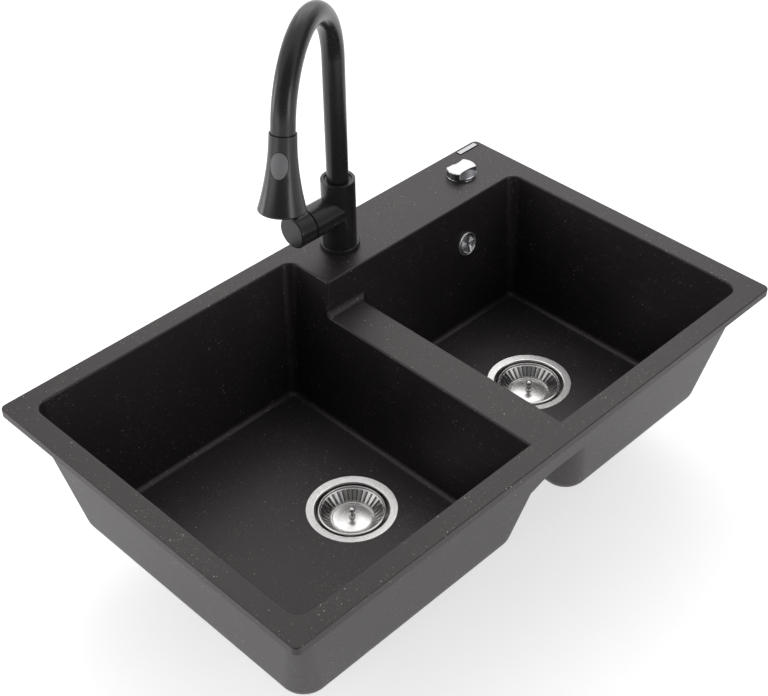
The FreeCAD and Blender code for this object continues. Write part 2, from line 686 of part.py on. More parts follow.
def basket_levels():
    """Heights of the basket's rim, its plate and the underside of the plate."""
    rim = -BASKET_TOP_DROP
    plate = rim - BASKET_DEPTH
    return rim, plate, plate - BASKET_WALL


def basket():
    """Strainer dish: a rolled rim, a slotted cone and a domed plate in the middle."""
    rim, plate, under = basket_levels()
    bead = BASKET_BEAD
    inner = BASKET_RIM_R - bead
    stem = BASKET_STEM_R + FIT
    dome = plate + PLATE_DOME
    half_way = plate + DOME_HALF_WAY * PLATE_DOME
    top = [(stem, dome), (BASKET_PLATE_R / 2, half_way, "via"), (BASKET_PLATE_R, plate),
           (inner - bead / 2, rim - bead), (inner, rim - bead / 4), (BASKET_RIM_R - bead / 2, rim, "via")]
    back = [(BASKET_RIM_R, rim - bead / 2), (inner + bead / 2, rim - bead - BASKET_WALL / 2),
            (BASKET_PLATE_R + BASKET_WALL / 2, under), (BASKET_PLATE_R - BASKET_WALL, under), (stem, under)]
    dish = lathe(top + back)
    half = SLOT_WIDTH / 2
    slot = block(BASKET_PLATE_R + SLOT_WIDTH, inner - SLOT_WIDTH, -half, half, 2 * under, 0)
    return dish.cut(around(slot, BASKET_SLOTS))


def plug_seal():
    """Rubber plug under the basket; its slanted lip closes on the cup's cone."""
    top = basket_levels()[2]
    lip_top = top - PLUG_NECK
    lip_low = lip_top - PLUG_THICK
    stem = BASKET_STEM_R + FIT
    gap = SEAT_GAP * PLUG_LEAN
    return lathe([(stem, top), (PLUG_HUB_R, top), (PLUG_HUB_R, lip_top + PLUG_NECK / 2),
                  (seat_radius(lip_top) - gap, lip_top), (seat_radius(lip_low) - gap, lip_low),
                  (stem, lip_low)])


def basket_knob():
    """Pull knob with the stem that holds the plug under the basket."""
    rim, plate, under = basket_levels()
    foot = plate + PLATE_DOME
    top = foot + BASKET_KNOB_HIGH
    low = under - PLUG_NECK - PLUG_THICK
    radius = (BASKET_KNOB_R ** 2 + BASKET_KNOB_DOME ** 2) / (2 * BASKET_KNOB_DOME)
    half = math.asin(BASKET_KNOB_R / radius) / 2
    stem = [(0, low - RIVET_HIGH), (RIVET_R, low - RIVET_HIGH), (RIVET_R, low), (BASKET_STEM_R, low),
            (BASKET_STEM_R, foot), (BASKET_KNOB_FOOT_R, foot)]
    grip = [(BASKET_KNOB_WAIST_R, foot + BASKET_KNOB_FOOT_HIGH), (BASKET_KNOB_WAIST_R, top - BASKET_KNOB_R),
            (BASKET_KNOB_R, top - BASKET_KNOB_DOME),
            (radius * math.sin(half), top - radius * (1 - math.cos(half)), "via"), (0, top)]
    return lathe(stem + grip)


def lift_pin():
    """Pin that rises through the hollow centre screw and pushes the basket's stem up."""
    under = basket_levels()[2]
    top = under - PLUG_NECK - PLUG_THICK - RIVET_HIGH - SEAT_GAP
    hub_low = -CUP_DEPTH - CUP_WALL - HUB_LENGTH
    collar = hub_low - LIFT - HOLE_CLEAR
    return rod(LIFT_PIN_R, collar - PIN_COLLAR, top).fuse(rod(2 * LIFT_PIN_R, collar - PIN_COLLAR, collar))


# ---- overflow: its own Z axis points out of the back wall into the bowl -------------------------
def overflow_rose():
    """Chrome cover: a raised ring, four raised quarters and a cross of slots through the face."""
    face = rod(ROSE_R, 0, ROSE_THICK)
    rim = ring(ROSE_R, ROSE_R - ROSE_RING_WIDTH, ROSE_THICK, ROSE_THICK + ROSE_SECTOR_HIGH / 2)
    high = ROSE_THICK + ROSE_SECTOR_HIGH
    pad = lathe([(0, ROSE_THICK), (ROSE_SECTOR_R, ROSE_THICK), (ROSE_SECTOR_R - ROSE_SECTOR_HIGH / 2, high),
                 (0, high)])
    sleeve = ring(ROSE_SLEEVE_R, ROSE_SLEEVE_R - ROSE_SLEEVE_WALL, -WALL - SLEEVE_GRIP, 0)
    rose = face.fuse([rim, pad, sleeve])
    wide = ROSE_GROOVE / 2
    arm = block(-ROSE_SECTOR_R, ROSE_SECTOR_R, -wide, wide, ROSE_THICK, 2 * high)
    slot_reach = ROSE_SLEEVE_R - ROSE_SLEEVE_WALL - TRIM
    slot = block(-slot_reach, slot_reach, -wide, wide, -TRIM, 2 * high)
    rose = rose.cut([arm, slot] + around(arm, 1, 90) + around(slot, 1, 90))
    rose.rotate(Vector(0, 0, 0), UP, ROSE_TURN)
    place, into_bowl = overflow_frame()
    return put(rose, *place, into_bowl)


def wall_behind():
    """Distance along the overflow's axis from the wall's inner face to its outer face."""
    return WALL * math.cos(math.atan(DRAFT_SMALL["back"]))


def overflow_gasket():
    place, into_bowl = overflow_frame()
    back = -wall_behind()
    gasket = ring(ELBOW_FLANGE_R, ROSE_SLEEVE_R + SEAT_GAP, back - BODY_SEAL_THICK, back)
    return put(gasket, *place, into_bowl)


def overflow_elbow():
    """Moulded elbow behind the wall; the rose's sleeve screws into it, its spigot points down from a boss."""
    place, into_bowl = overflow_frame()
    face = -wall_behind() - BODY_SEAL_THICK
    back = face - ELBOW_DEPTH
    outer = ROSE_SLEEVE_R + ELBOW_WALL
    barrel = rod(outer, back, face).fuse(ring(ELBOW_FLANGE_R, outer - TRIM, face - ELBOW_FLANGE, face))
    room = rod(ROSE_SLEEVE_R, -WALL - SLEEVE_GRIP, TRIM)
    room = room.fuse(rod(ROSE_SLEEVE_R - ROSE_SLEEVE_WALL, back + ELBOW_WALL, TRIM))
    start = Vector(*place) + into_bowl * ((face + back) / 2)
    down = Vector(0, 0, -1)
    root = ELBOW_FLANGE_R + HOLE_CLEAR
    boss = Part.makeCylinder(SPIGOT_R + SPIGOT_SHOULDER, root, start, down)
    spigot = Part.makeCylinder(SPIGOT_R, root + SPIGOT_LENGTH, start, down)
    bore = Part.makeCylinder(SPIGOT_R - ELBOW_WALL, root + 2 * SPIGOT_LENGTH, start, down)
    body = put(barrel, *place, into_bowl).fuse([boss, spigot])
    return body.cut([put(room, *place, into_bowl), bore])


# ---- rotary waste control: heights are counted from the worktop plane ---------------------------
def knob_housing():
    """Round plate on the deck with the threaded sleeve that goes through it."""
    top = RIM_THICK + KNOB_BASE_THICK
    plate = soften(rod(KNOB_R, RIM_THICK, top), KNOB_BASE_THICK / 2, flat_at(top))
    sleeve = rod(KNOB_SHANK_R, -KNOB_SLEEVE, RIM_THICK)
    return plate.fuse(sleeve).cut(rod(SPINDLE_R + FIT, -2 * KNOB_SLEEVE, 2 * RIM_THICK))


def knob_washer():
    return ring(CABLE_BOX_R, KNOB_SHANK_R, LAND_HIGH - KNOB_WASHER, LAND_HIGH)


def knob_nut():
    top = LAND_HIGH - KNOB_WASHER
    return hexagon(KNOB_NUT_ACROSS, top - NUT_HIGH, top).cut(rod(KNOB_SHANK_R, -RIM_WIDTH, 0))


def cable_box():
    """Closed gear housing on the sleeve's end, with the gland for the control cable."""
    box = rod(CABLE_BOX_R, -KNOB_SLEEVE - CABLE_BOX_HIGH, -KNOB_SLEEVE)
    box = soften(box, CABLE_BOX_ROUND, flat_at(-KNOB_SLEEVE - CABLE_BOX_HIGH))
    level = -KNOB_SLEEVE - CABLE_BOX_HIGH / 2
    gland = side_pipe(GLAND_R, level, CABLE_BOX_R + GLAND_LENGTH, 180)
    bore = side_pipe(GLAND_R / 2, level, CABLE_BOX_R + 2 * GLAND_LENGTH, 180)
    bore = bore.cut(rod(CABLE_BOX_R, -RIM_WIDTH, 0))
    return box.fuse(gland).cut([bore, rod(SPINDLE_R + FIT, -KNOB_SLEEVE - SPINDLE_DEPTH, 0)])


def knob_spindle():
    low = -KNOB_SLEEVE - SPINDLE_DEPTH + SEAT_GAP
    return rod(SPINDLE_R, low, RIM_THICK + KNOB_BASE_THICK + KNOB_FOOT)


def waste_knob():
    """Round cap with a thumb scallop on both sides, cut down to a thin foot."""
    low = RIM_THICK + KNOB_BASE_THICK + KNOB_GAP
    foot = low + KNOB_FOOT
    top = low + KNOB_HIGH
    edge = KNOB_DOME * ARC_MIDDLE
    knob = lathe([(0, low), (KNOB_R, low), (KNOB_R, top - KNOB_DOME), (KNOB_R - edge, top - edge, "via"),
                  (KNOB_R - KNOB_DOME, top), (0, top)])
    scallops = [rod(SCALLOP_R, foot, 2 * top) for _ in (0, 1)]
    for scallop, side in zip(scallops, (-1, 1)):
        scallop.translate(Vector(0, side * (SCALLOP_REACH + SCALLOP_R), 0))
    knob = knob.cut(scallops).cut(rod(SPINDLE_R, 0, foot))
    knob.rotate(Vector(0, 0, 0), UP, KNOB_TURN)
    return knob


# ---- tap body: heights are counted from the worktop plane ---------------------------------------
def tap_levels():
    """Heights of the body's foot, its top and the floor of the spout's socket."""
    foot = RIM_THICK + TAP_RING_HIGH
    top = RIM_THICK + TAP_BODY_HIGH
    return foot, top, top - SOCKET_DEPTH


def tap_base_ring():
    foot = tap_levels()[0]
    seal = RIM_THICK + BASE_SEAL_THICK
    chamfer = TAP_RING_CHAMFER
    return lathe([(SHANK_R + FIT, seal), (TAP_BODY_R, seal), (TAP_BODY_R, RIM_THICK), (TAP_RING_R, RIM_THICK),
                  (TAP_RING_R, foot - chamfer), (TAP_RING_R - chamfer, foot), (SHANK_R + FIT, foot)])


def tap_base_seal():
    return ring(TAP_BODY_R - FIT, SHANK_R + HOLE_CLEAR, RIM_THICK, RIM_THICK + BASE_SEAL_THICK)


def on_boss(shape):
    """Moves a shape from the handle's own frame, whose Z axis is the boss axis, to its place."""
    return put(shape, *TAP_AT, RIM_THICK + BOSS_HIGH, Vector(-1, 0, 0))


def tap_body():
    """Column with the handle boss, the spout's socket, the cartridge bore and the water ways."""
    foot, top, socket = tap_levels()
    column = soften(rod(TAP_BODY_R, foot, top), EDGE_R, flat_at(top))
    column = column.common(rod(RIM_WIDTH, foot, top))
    x, y = TAP_AT
    body = put(column, x, y, 0).fuse(on_boss(rod(BOSS_R, 0, BOSS_REACH)))
    cuts = [rod(TAP_MOUTH_R, top - TAP_MOUTH_DEPTH, top + TRIM), rod(TUBE_R + FIT, socket, top),
            rod(SHANK_R, 0, foot + SHANK_GRIP)]
    hose_way = rod(HOSE_WAY_R, foot, socket + TRIM)
    hose_way.translate(Vector(0, -HOSE_WAY_R, 0))
    cuts.append(hose_way)
    for side in (-1, 1):
        inlet = rod(INLET_R, foot, foot + SHANK_GRIP + INLET_DEPTH)
        inlet.translate(Vector(side * INLET_X, INLET_Y, 0))
        cuts.append(inlet)
    nut = BOSS_REACH - CARTRIDGE_NUT_HIGH
    bores = [rod(CARTRIDGE_NUT_R, nut, BOSS_REACH + TRIM),
             rod(CARTRIDGE_R + FIT, nut - CARTRIDGE_LENGTH, nut + TRIM)]
    return body.cut([put(cut, x, y, 0) for cut in cuts] + [on_boss(bore) for bore in bores])


def tap_shank():
    foot = tap_levels()[0]
    return ring(SHANK_R, SHANK_R - SHANK_WALL, RIM_THICK - SHANK_LENGTH, foot + SHANK_GRIP)


def horseshoe(low, high):
    """U-shaped plate that slips on from the back round the shank."""
    clear = SHANK_R + FIT
    way_on = block(-clear, clear, 0, 2 * WASHER_R, low, high)
    return rod(WASHER_R, low, high).cut([rod(clear, low, high), way_on])


def tap_clamp_pad():
    return horseshoe(LAND_HIGH - PAD_THICK, LAND_HIGH)


def tap_clamp_plate():
    return horseshoe(LAND_HIGH - PAD_THICK - PLATE_THICK, LAND_HIGH - PAD_THICK)


def tap_nut():
    top = LAND_HIGH - PAD_THICK - PLATE_THICK
    return hexagon(NUT_ACROSS, top - NUT_HIGH, top).cut(rod(SHANK_R, -RIM_WIDTH, 0))


# ---- tap handle: its own Z axis is the boss axis, its X axis points up --------------------------
PIVOT = BOSS_REACH - PIVOT_BACK


def cartridge():
    front = BOSS_REACH - CARTRIDGE_NUT_HIGH
    body = rod(CARTRIDGE_R, front - CARTRIDGE_LENGTH, front)
    return on_boss(body.cut(rod(TURRET_R + SEAT_GAP, TURRET_BACK - SEAT_GAP, front + TRIM)))


def cartridge_nut():
    low = BOSS_REACH - CARTRIDGE_NUT_HIGH
    return on_boss(ring(CARTRIDGE_NUT_R, TURRET_R + HOLE_CLEAR, low, BOSS_REACH - NUT_SET))


def stem_slot():
    """Room in the turret for the stem over its whole tilt."""
    wide = STEM_WIDE / 2 + FIT
    high = STEM_HIGH / 2 + SEAT_GAP
    reach = TURRET_FRONT + TRIM - PIVOT
    tilt = math.radians(HANDLE_TILT)
    low = -high / math.cos(tilt)
    deepest = low - reach * math.tan(tilt)
    wedge = outline([(high, PIVOT), (high, PIVOT + reach), (deepest, PIVOT + reach), (low, PIVOT)])
    wedge = wedge.extrude(Vector(0, 2 * wide, 0))
    wedge.translate(Vector(0, -wide, 0))
    return wedge.fuse(Part.makeCylinder(high, 2 * wide, Vector(0, -wide, PIVOT), Vector(0, 1, 0)))


def cross_pin(radius, reach):
    """Level bar through the handle's pivot."""
    return Part.makeCylinder(radius, 2 * reach, Vector(0, -reach, PIVOT), Vector(0, 1, 0))


def handle_turret():
    """Turning part of the cartridge; it carries the stem's pivot."""
    turret = rod(TURRET_R, TURRET_BACK, TURRET_FRONT)
    return on_boss(turret.cut([stem_slot(), cross_pin(STEM_PIN_R, TURRET_R)]))


def stem_pin():
    return on_boss(cross_pin(STEM_PIN_R, TURRET_R - STEM_PIN_R))


def stem_bar(clear, start, end):
    """Flat bar of the stem's section along the boss axis."""
    high = STEM_HIGH / 2 + clear
    wide = STEM_WIDE / 2 + clear
    return block(-high, high, -wide, wide, start, end)


def handle_stem():
    end = BOSS_REACH + SEAM + CAP_LENGTH - CAP_WALL
    eye = Part.makeCylinder(STEM_HIGH / 2, STEM_WIDE, Vector(0, -STEM_WIDE / 2, PIVOT), Vector(0, 1, 0))
    return on_boss(stem_bar(0, PIVOT, end).fuse(eye).cut(cross_pin(STEM_PIN_R + FIT / 2, STEM_WIDE)))


def lever_bar(radius, start, length):
    """Round bar along the lever, counted from the boss axis."""
    lean = math.radians(LEVER_LEAN)
    along = Vector(math.cos(lean), 0, math.sin(lean))
    foot = Vector(0, 0, LEVER_REACH - BOSS_R * math.tan(lean))
    return Part.makeCylinder(radius, length, foot + along * start, along)


def handle_cap():
    """Hollow cap on the boss, with the socket for the stem and the seat of the lever."""
    rim = BOSS_REACH + SEAM
    end = rim + CAP_LENGTH
    inner = BOSS_R - CAP_WALL
    deep = end - CAP_WALL
    edge = CAP_EDGE * ARC_MIDDLE
    outside = [(0, end), (BOSS_R - CAP_EDGE, end), (BOSS_R - edge, end - edge, "via"),
               (BOSS_R, end - CAP_EDGE), (BOSS_R, rim)]
    inside = [(BOSS_R - CAP_RIM_WALL, rim), (inner, rim + CAP_BEVEL), (inner, deep), (STEM_WIDE, deep),
              (STEM_WIDE, deep - SOCKET_LENGTH), (0, deep - SOCKET_LENGTH)]
    cap = lathe(outside + inside)
    screw_way = Part.makeCylinder(GRUB_R, 2 * BOSS_R, Vector(0, 0, LEVER_REACH), Vector(-1, 0, 0))
    return on_boss(cap.cut([stem_bar(0, rim, deep), lever_bar(LEVER_R, inner - TRIM, BOSS_R), screw_way]))


def handle_lever():
    start = (BOSS_R - CAP_WALL) / math.cos(math.radians(LEVER_LEAN))
    lever = lever_bar(LEVER_R, start, LEVER_LENGTH + CAP_WALL)
    tip = max(lever.Vertexes, key=lambda v: v.Point.x).Point.x

    def end(edge):
        return edge.BoundBox.XMax > tip - EPS and edge.BoundBox.ZLength > LEVER_R
    return on_boss(soften(lever, LEVER_ROUND, end))


def handle_screw():
    seat = Vector(-STEM_HIGH / 2, 0, LEVER_REACH)
    return on_boss(Part.makeCylinder(GRUB_R, GRUB_LENGTH, seat, Vector(-1, 0, 0)))


# ---- spout and spray: the spray's own Z axis runs down from the arch's end ----------------------
def arch_frame():
    """Centre and end of the arch and the direction in which its end points."""
    azimuth = math.radians(SPOUT_AZIMUTH)
    sweep = math.radians(ARCH_SWEEP)
    out = Vector(math.cos(azimuth), math.sin(azimuth), 0)
    centre = Vector(*TAP_AT, RIM_THICK + RISER_TOP) + out * ARCH_R
    end = centre - out * (ARCH_R * math.cos(sweep)) + UP * (ARCH_R * math.sin(sweep))
    along = out * math.sin(sweep) + UP * math.cos(sweep)
    return centre, end, along, out


def on_spray(shape):
    """Moves a shape from the spray's own frame to its place."""
    _, end, along, _ = arch_frame()
    return put(shape, *end, along)


def spout():
    """Riser, round arch and the short straight end that goes into the spray head."""
    foot = tap_levels()[2] + SEAT_GAP
    inner = TUBE_R - TUBE_WALL
    centre, end, along, out = arch_frame()
    start = Vector(*TAP_AT, RIM_THICK + RISER_TOP)
    axis = UP.cross(out)
    section = Part.Face([Part.Wire(Part.makeCircle(radius, start, UP)) for radius in (TUBE_R, inner)])
    section.validate()
    arch = section.revolve(centre, axis, ARCH_SWEEP)
    riser = put(ring(TUBE_R, inner, foot, RIM_THICK + RISER_TOP), *TAP_AT, 0)
    tail = on_spray(ring(TUBE_R, inner, 0, TUBE_END))
    return riser.fuse([arch, tail]).removeSplitter()


def spout_bush():
    top = tap_levels()[1]
    low = top - TAP_MOUTH_DEPTH
    return put(ring(TAP_MOUTH_R, TUBE_R + FIT, low, top - BUSH_DROP), *TAP_AT, 0)


def hose_guide():
    return on_spray(ring(TUBE_R - TUBE_WALL, HOSE_R + SEAT_GAP, GUIDE_START, TUBE_END - TRIM))


def spray_hose():
    return on_spray(rod(HOSE_R, GUIDE_START, TUBE_END + NUT_GAP))


def hose_nut():
    return on_spray(rod(HOSE_NUT_R, TUBE_END + NUT_GAP, CORE_TOP))


def spray_core():
    """Valve body inside the head, between the hose nut and the spray face."""
    floor = HEAD_END - FACE_RECESS
    neck = HEAD_NECK_R - HEAD_WALL
    wide = HEAD_FLARE[1] - 2 * HEAD_WALL
    return on_spray(lathe([(0, CORE_TOP), (neck, CORE_TOP), (neck, CORE_TOP + CORE_COLLAR),
                           (CORE_R, CORE_TOP + 2 * CORE_COLLAR), (CORE_R, floor - 2 * CORE_COLLAR),
                           (wide, floor - CORE_FOOT), (wide, floor), (0, floor)]))


def head_outside(grow):
    """Outer line of the spray head from its neck to its flared end, grown outwards."""
    return [(HEAD_NECK_R + grow, HEAD_START), (HEAD_WAIST[1] + grow, HEAD_WAIST[0]),
            (HEAD_MIDDLE[1] + grow, HEAD_MIDDLE[0], "via"), (HEAD_FLARE[1] + grow, HEAD_FLARE[0])]


def spray_head():
    """Flared shell with the dock for the spout's end, the button's window and the seat of the face."""
    floor = HEAD_END - FACE_RECESS
    wide = HEAD_FLARE[1] - 2 * HEAD_WALL
    face = HEAD_FLARE[1] - FACE_MARGIN
    dock = TUBE_R + DOCK_CLEAR
    neck = HEAD_NECK_R - HEAD_WALL
    edge = HEAD_EDGE_R * ARC_MIDDLE
    points = [(dock, HEAD_START)] + head_outside(0)
    points += [(HEAD_FLARE[1] - edge, HEAD_END - edge, "via"), (HEAD_FLARE[1] - HEAD_EDGE_R, HEAD_END)]
    points += [(face, HEAD_END), (face, floor), (wide, floor), (wide, floor - CORE_FOOT)]
    points += [(HEAD_MIDDLE[1] - HEAD_WALL, HEAD_MIDDLE[0], "via"), (neck, HEAD_WAIST[0])]
    points += [(neck, CORE_TOP), (dock, CORE_TOP)]
    return on_spray(lathe(points)).cut(button_prism(BUTTON_GAP, BUTTON_FLOOR / 2))


def button_frame():
    """Middle of the button on the head's axis, and the direction in which it faces."""
    _, end, along, _ = arch_frame()
    azimuth = math.radians(BUTTON_AZIMUTH)
    facing = Vector(math.cos(azimuth), math.sin(azimuth), 0)
    facing = facing - along * facing.dot(along)
    facing.normalize()
    return end + along * BUTTON_AT, facing, along


def button_prism(grow, start):
    """Oval bar square to the head's axis, on the button's side."""
    middle, facing, along = button_frame()
    oval = Part.Ellipse(middle + facing * start + along * (BUTTON_TALL / 2 + grow),
                        middle + facing * start + along.cross(facing) * (BUTTON_WIDE / 2 + grow),
                        middle + facing * start)
    return Part.Face(Part.Wire(oval.toShape())).extrude(facing * (2 * HEAD_FLARE[1] - start))


def spray_button():
    """Oval push button that follows the head's curve and stands slightly proud of it."""
    skin = on_spray(lathe([(0, HEAD_START)] + head_outside(BUTTON_PROUD) + [(0, HEAD_FLARE[0])]))
    return button_prism(0, BUTTON_FLOOR).common(skin)


def spray_face():
    floor = HEAD_END - FACE_RECESS
    disc = rod(HEAD_FLARE[1] - FACE_MARGIN - FIT, floor, HEAD_END - FACE_SET)
    return on_spray(disc.cut(rod(AERATOR_R, floor - TRIM, HEAD_END)))


def aerator():
    floor = HEAD_END - FACE_RECESS
    return on_spray(rod(AERATOR_R, floor, HEAD_END - FACE_SET / 2))


# ---- all pieces ------------------------------------------------------------------------------
def at_drain(shape, side):
    x, y = {"left": BIG_DRAIN, "right": SMALL_DRAIN}[side]
    return put(shape, x, y, FLOOR_Z)


def at_knob(shape):
    return put(shape, *KNOB_AT, 0)


def at_tap(shape):
    return put(shape, *TAP_AT, 0)


def all_parts():
    """Name and shape of every piece."""
    parts = {"sink_body": sink_body(), "name_plate": name_plate()}
    for side in ("left", "right"):
        right = side == "right"
        pieces = {"waste_flange": waste_flange(), "flange_gasket": flange_gasket(), "body_seal": body_seal(),
                  "waste_body": waste_body(right), "waste_screw": waste_screw(right), "basket": basket(),
                  "plug_seal": plug_seal(), "basket_knob": basket_knob()}
        for name, shape in pieces.items():
            parts[side + "_" + name] = at_drain(shape, side)
    parts["lift_pin"] = at_drain(lift_pin(), "right")
    for make in (knob_housing, knob_washer, knob_nut, cable_box, knob_spindle, waste_knob):
        parts[make.__name__] = at_knob(make())
    for make in (tap_base_ring, tap_base_seal, tap_shank, tap_clamp_pad, tap_clamp_plate, tap_nut):
        parts[make.__name__] = at_tap(make())
    for make in (overflow_rose, overflow_gasket, overflow_elbow, tap_body, cartridge, cartridge_nut,
                 handle_turret, stem_pin, handle_stem, handle_cap, handle_lever, handle_screw, spout,
                 spout_bush, hose_guide, spray_hose, hose_nut, spray_core, spray_head, spray_button,
                 spray_face, aerator):
        parts[make.__name__] = make()
    return parts


def main():
    os.makedirs("parts", exist_ok=True)
    for name, shape in all_parts().items():
        shape.exportStep("parts/" + name + ".step")


if __name__ == "__main__":
    main()
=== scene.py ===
import json
import math

import bmesh
import bpy
from bpy.props import FloatProperty, FloatVectorProperty, IntProperty, PointerProperty, StringProperty
from mathutils import Matrix, Vector
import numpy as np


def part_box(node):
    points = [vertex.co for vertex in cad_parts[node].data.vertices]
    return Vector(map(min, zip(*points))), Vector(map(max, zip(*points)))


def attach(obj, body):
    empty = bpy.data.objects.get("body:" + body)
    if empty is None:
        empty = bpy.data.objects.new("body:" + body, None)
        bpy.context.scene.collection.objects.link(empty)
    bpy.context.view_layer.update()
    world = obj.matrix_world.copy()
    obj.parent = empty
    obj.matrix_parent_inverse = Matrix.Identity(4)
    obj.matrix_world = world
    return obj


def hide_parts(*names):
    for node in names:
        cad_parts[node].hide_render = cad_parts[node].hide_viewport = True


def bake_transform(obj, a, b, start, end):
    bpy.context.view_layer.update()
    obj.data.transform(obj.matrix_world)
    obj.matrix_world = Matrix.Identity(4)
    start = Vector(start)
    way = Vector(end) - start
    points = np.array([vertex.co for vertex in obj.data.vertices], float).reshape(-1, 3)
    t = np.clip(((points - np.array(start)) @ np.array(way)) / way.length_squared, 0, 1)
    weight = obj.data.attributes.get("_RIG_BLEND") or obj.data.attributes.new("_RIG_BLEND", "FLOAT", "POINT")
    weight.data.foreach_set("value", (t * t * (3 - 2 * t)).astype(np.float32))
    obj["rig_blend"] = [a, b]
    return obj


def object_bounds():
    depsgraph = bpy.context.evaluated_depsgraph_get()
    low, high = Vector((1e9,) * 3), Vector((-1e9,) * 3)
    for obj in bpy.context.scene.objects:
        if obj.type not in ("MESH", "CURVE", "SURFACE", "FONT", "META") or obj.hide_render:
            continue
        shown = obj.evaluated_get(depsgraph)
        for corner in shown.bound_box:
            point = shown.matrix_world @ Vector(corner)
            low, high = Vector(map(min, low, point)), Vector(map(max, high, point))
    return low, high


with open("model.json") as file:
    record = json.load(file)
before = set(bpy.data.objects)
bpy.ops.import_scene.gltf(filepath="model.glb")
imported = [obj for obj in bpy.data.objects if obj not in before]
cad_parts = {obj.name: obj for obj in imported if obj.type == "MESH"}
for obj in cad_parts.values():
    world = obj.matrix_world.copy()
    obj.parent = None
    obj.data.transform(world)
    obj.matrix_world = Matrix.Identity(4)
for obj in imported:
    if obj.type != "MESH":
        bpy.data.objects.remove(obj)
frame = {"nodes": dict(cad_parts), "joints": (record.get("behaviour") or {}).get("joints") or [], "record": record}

bl_info = {
    "name": "Double Bowl Kitchen Sink",
    "version": (1, 0, 0),
    "blender": (4, 5, 0),
    "location": "View3D > Sidebar > Sink",
    "description": "Finishes an inset granite composite sink with its mixer tap, wastes, overflow and waste knob",
    "category": "Add Mesh",
}

MM = 0.001
CAD_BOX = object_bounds()
BODY_OF = {node: body for body, nodes in frame["record"]["behaviour"]["bodies"].items() for node in nodes}
SLOT_OF = {part["node"]: part["material_slot"] for part in frame["record"]["subparts"]}
SIDES = ("left", "right")


# ---- colours and nodes ---------------------------------------------------------------------
def linear(hex_colour):
    """Linear colour with alpha from an sRGB hex value."""
    channels = [int(hex_colour[i:i + 2], 16) / 255 for i in (1, 3, 5)]
    return tuple(c / 12.92 if c <= 0.04045 else ((c + 0.055) / 1.055) ** 2.4 for c in channels) + (1.0,)


def add(tree, kind, inputs=None, **settings):
    """Adds a node; an input given as a socket is linked, and any other is set."""
    made = tree.nodes.new(kind)
    for name, value in settings.items():
        setattr(made, name, value)
    for key, value in (inputs or {}).items():
        if isinstance(value, bpy.types.NodeSocket):
            tree.links.new(value, made.inputs[key])
        else:
            made.inputs[key].default_value = value
    return made


def start_material(name):
    """Empty material with a Principled shader on its output."""
    material = bpy.data.materials.new(name)
    material.use_nodes = True
    tree = material.node_tree
    tree.nodes.clear()
    shader = add(tree, "ShaderNodeBsdfPrincipled")
    add(tree, "ShaderNodeOutputMaterial", {"Surface": shader.outputs["BSDF"]})
    return material, tree, shader


def set_inputs(tree, shader, inputs):
    """Sets or links several inputs of a node that is already there."""
    for key, value in inputs.items():
        if isinstance(value, bpy.types.NodeSocket):
            tree.links.new(value, shader.inputs[key])
        else:
            shader.inputs[key].default_value = value


def per_mm(size):
    """Texture scale at which one cell measures size millimetres."""
    return 1 / (size * MM)


# ---- materials -----------------------------------------------------------------------------
def round_edges(tree, radius):
    """Normal that shades every sharp edge as if it were broken by radius millimetres."""
    return add(tree, "ShaderNodeBevel", {"Radius": radius * MM}, samples=4).outputs["Normal"]


def grains(tree, place, crowd, cell, radius, share):
    """Mask of scattered grains: a few cells of a Voronoi pattern hold one round grain each."""
    cells = add(tree, "ShaderNodeTexVoronoi", {"Vector": place, "Scale": per_mm(cell)})
    grain = add(tree, "ShaderNodeMapRange", {"Value": cells.outputs["Distance"], "From Min": radius / cell,
                                             "From Max": radius / cell / 2, "To Min": 0.0, "To Max": 1.0})
    chance = add(tree, "ShaderNodeSeparateColor", {"Color": cells.outputs["Color"]})
    missed = add(tree, "ShaderNodeMath", {0: crowd, 1: -share, 2: 1.0}, operation="MULTIPLY_ADD")
    chosen = add(tree, "ShaderNodeMath", {0: chance.outputs["Red"], 1: missed.outputs["Value"]},
                 operation="GREATER_THAN")
    return add(tree, "ShaderNodeMath", {0: grain.outputs["Result"], 1: chosen.outputs["Value"]},
               operation="MULTIPLY").outputs["Value"]


# Grains in the stone: colour, spacing in mm, radius in mm and how many of the places hold one.
GRAINS = (
    ("#5d5856", 2.2, 0.55, 0.34),
    ("#938d86", 4.0, 0.60, 0.24),
    ("#d8d2c6", 8.0, 0.65, 0.20),
    ("#a89674", 5.0, 0.60, 0.26),
)


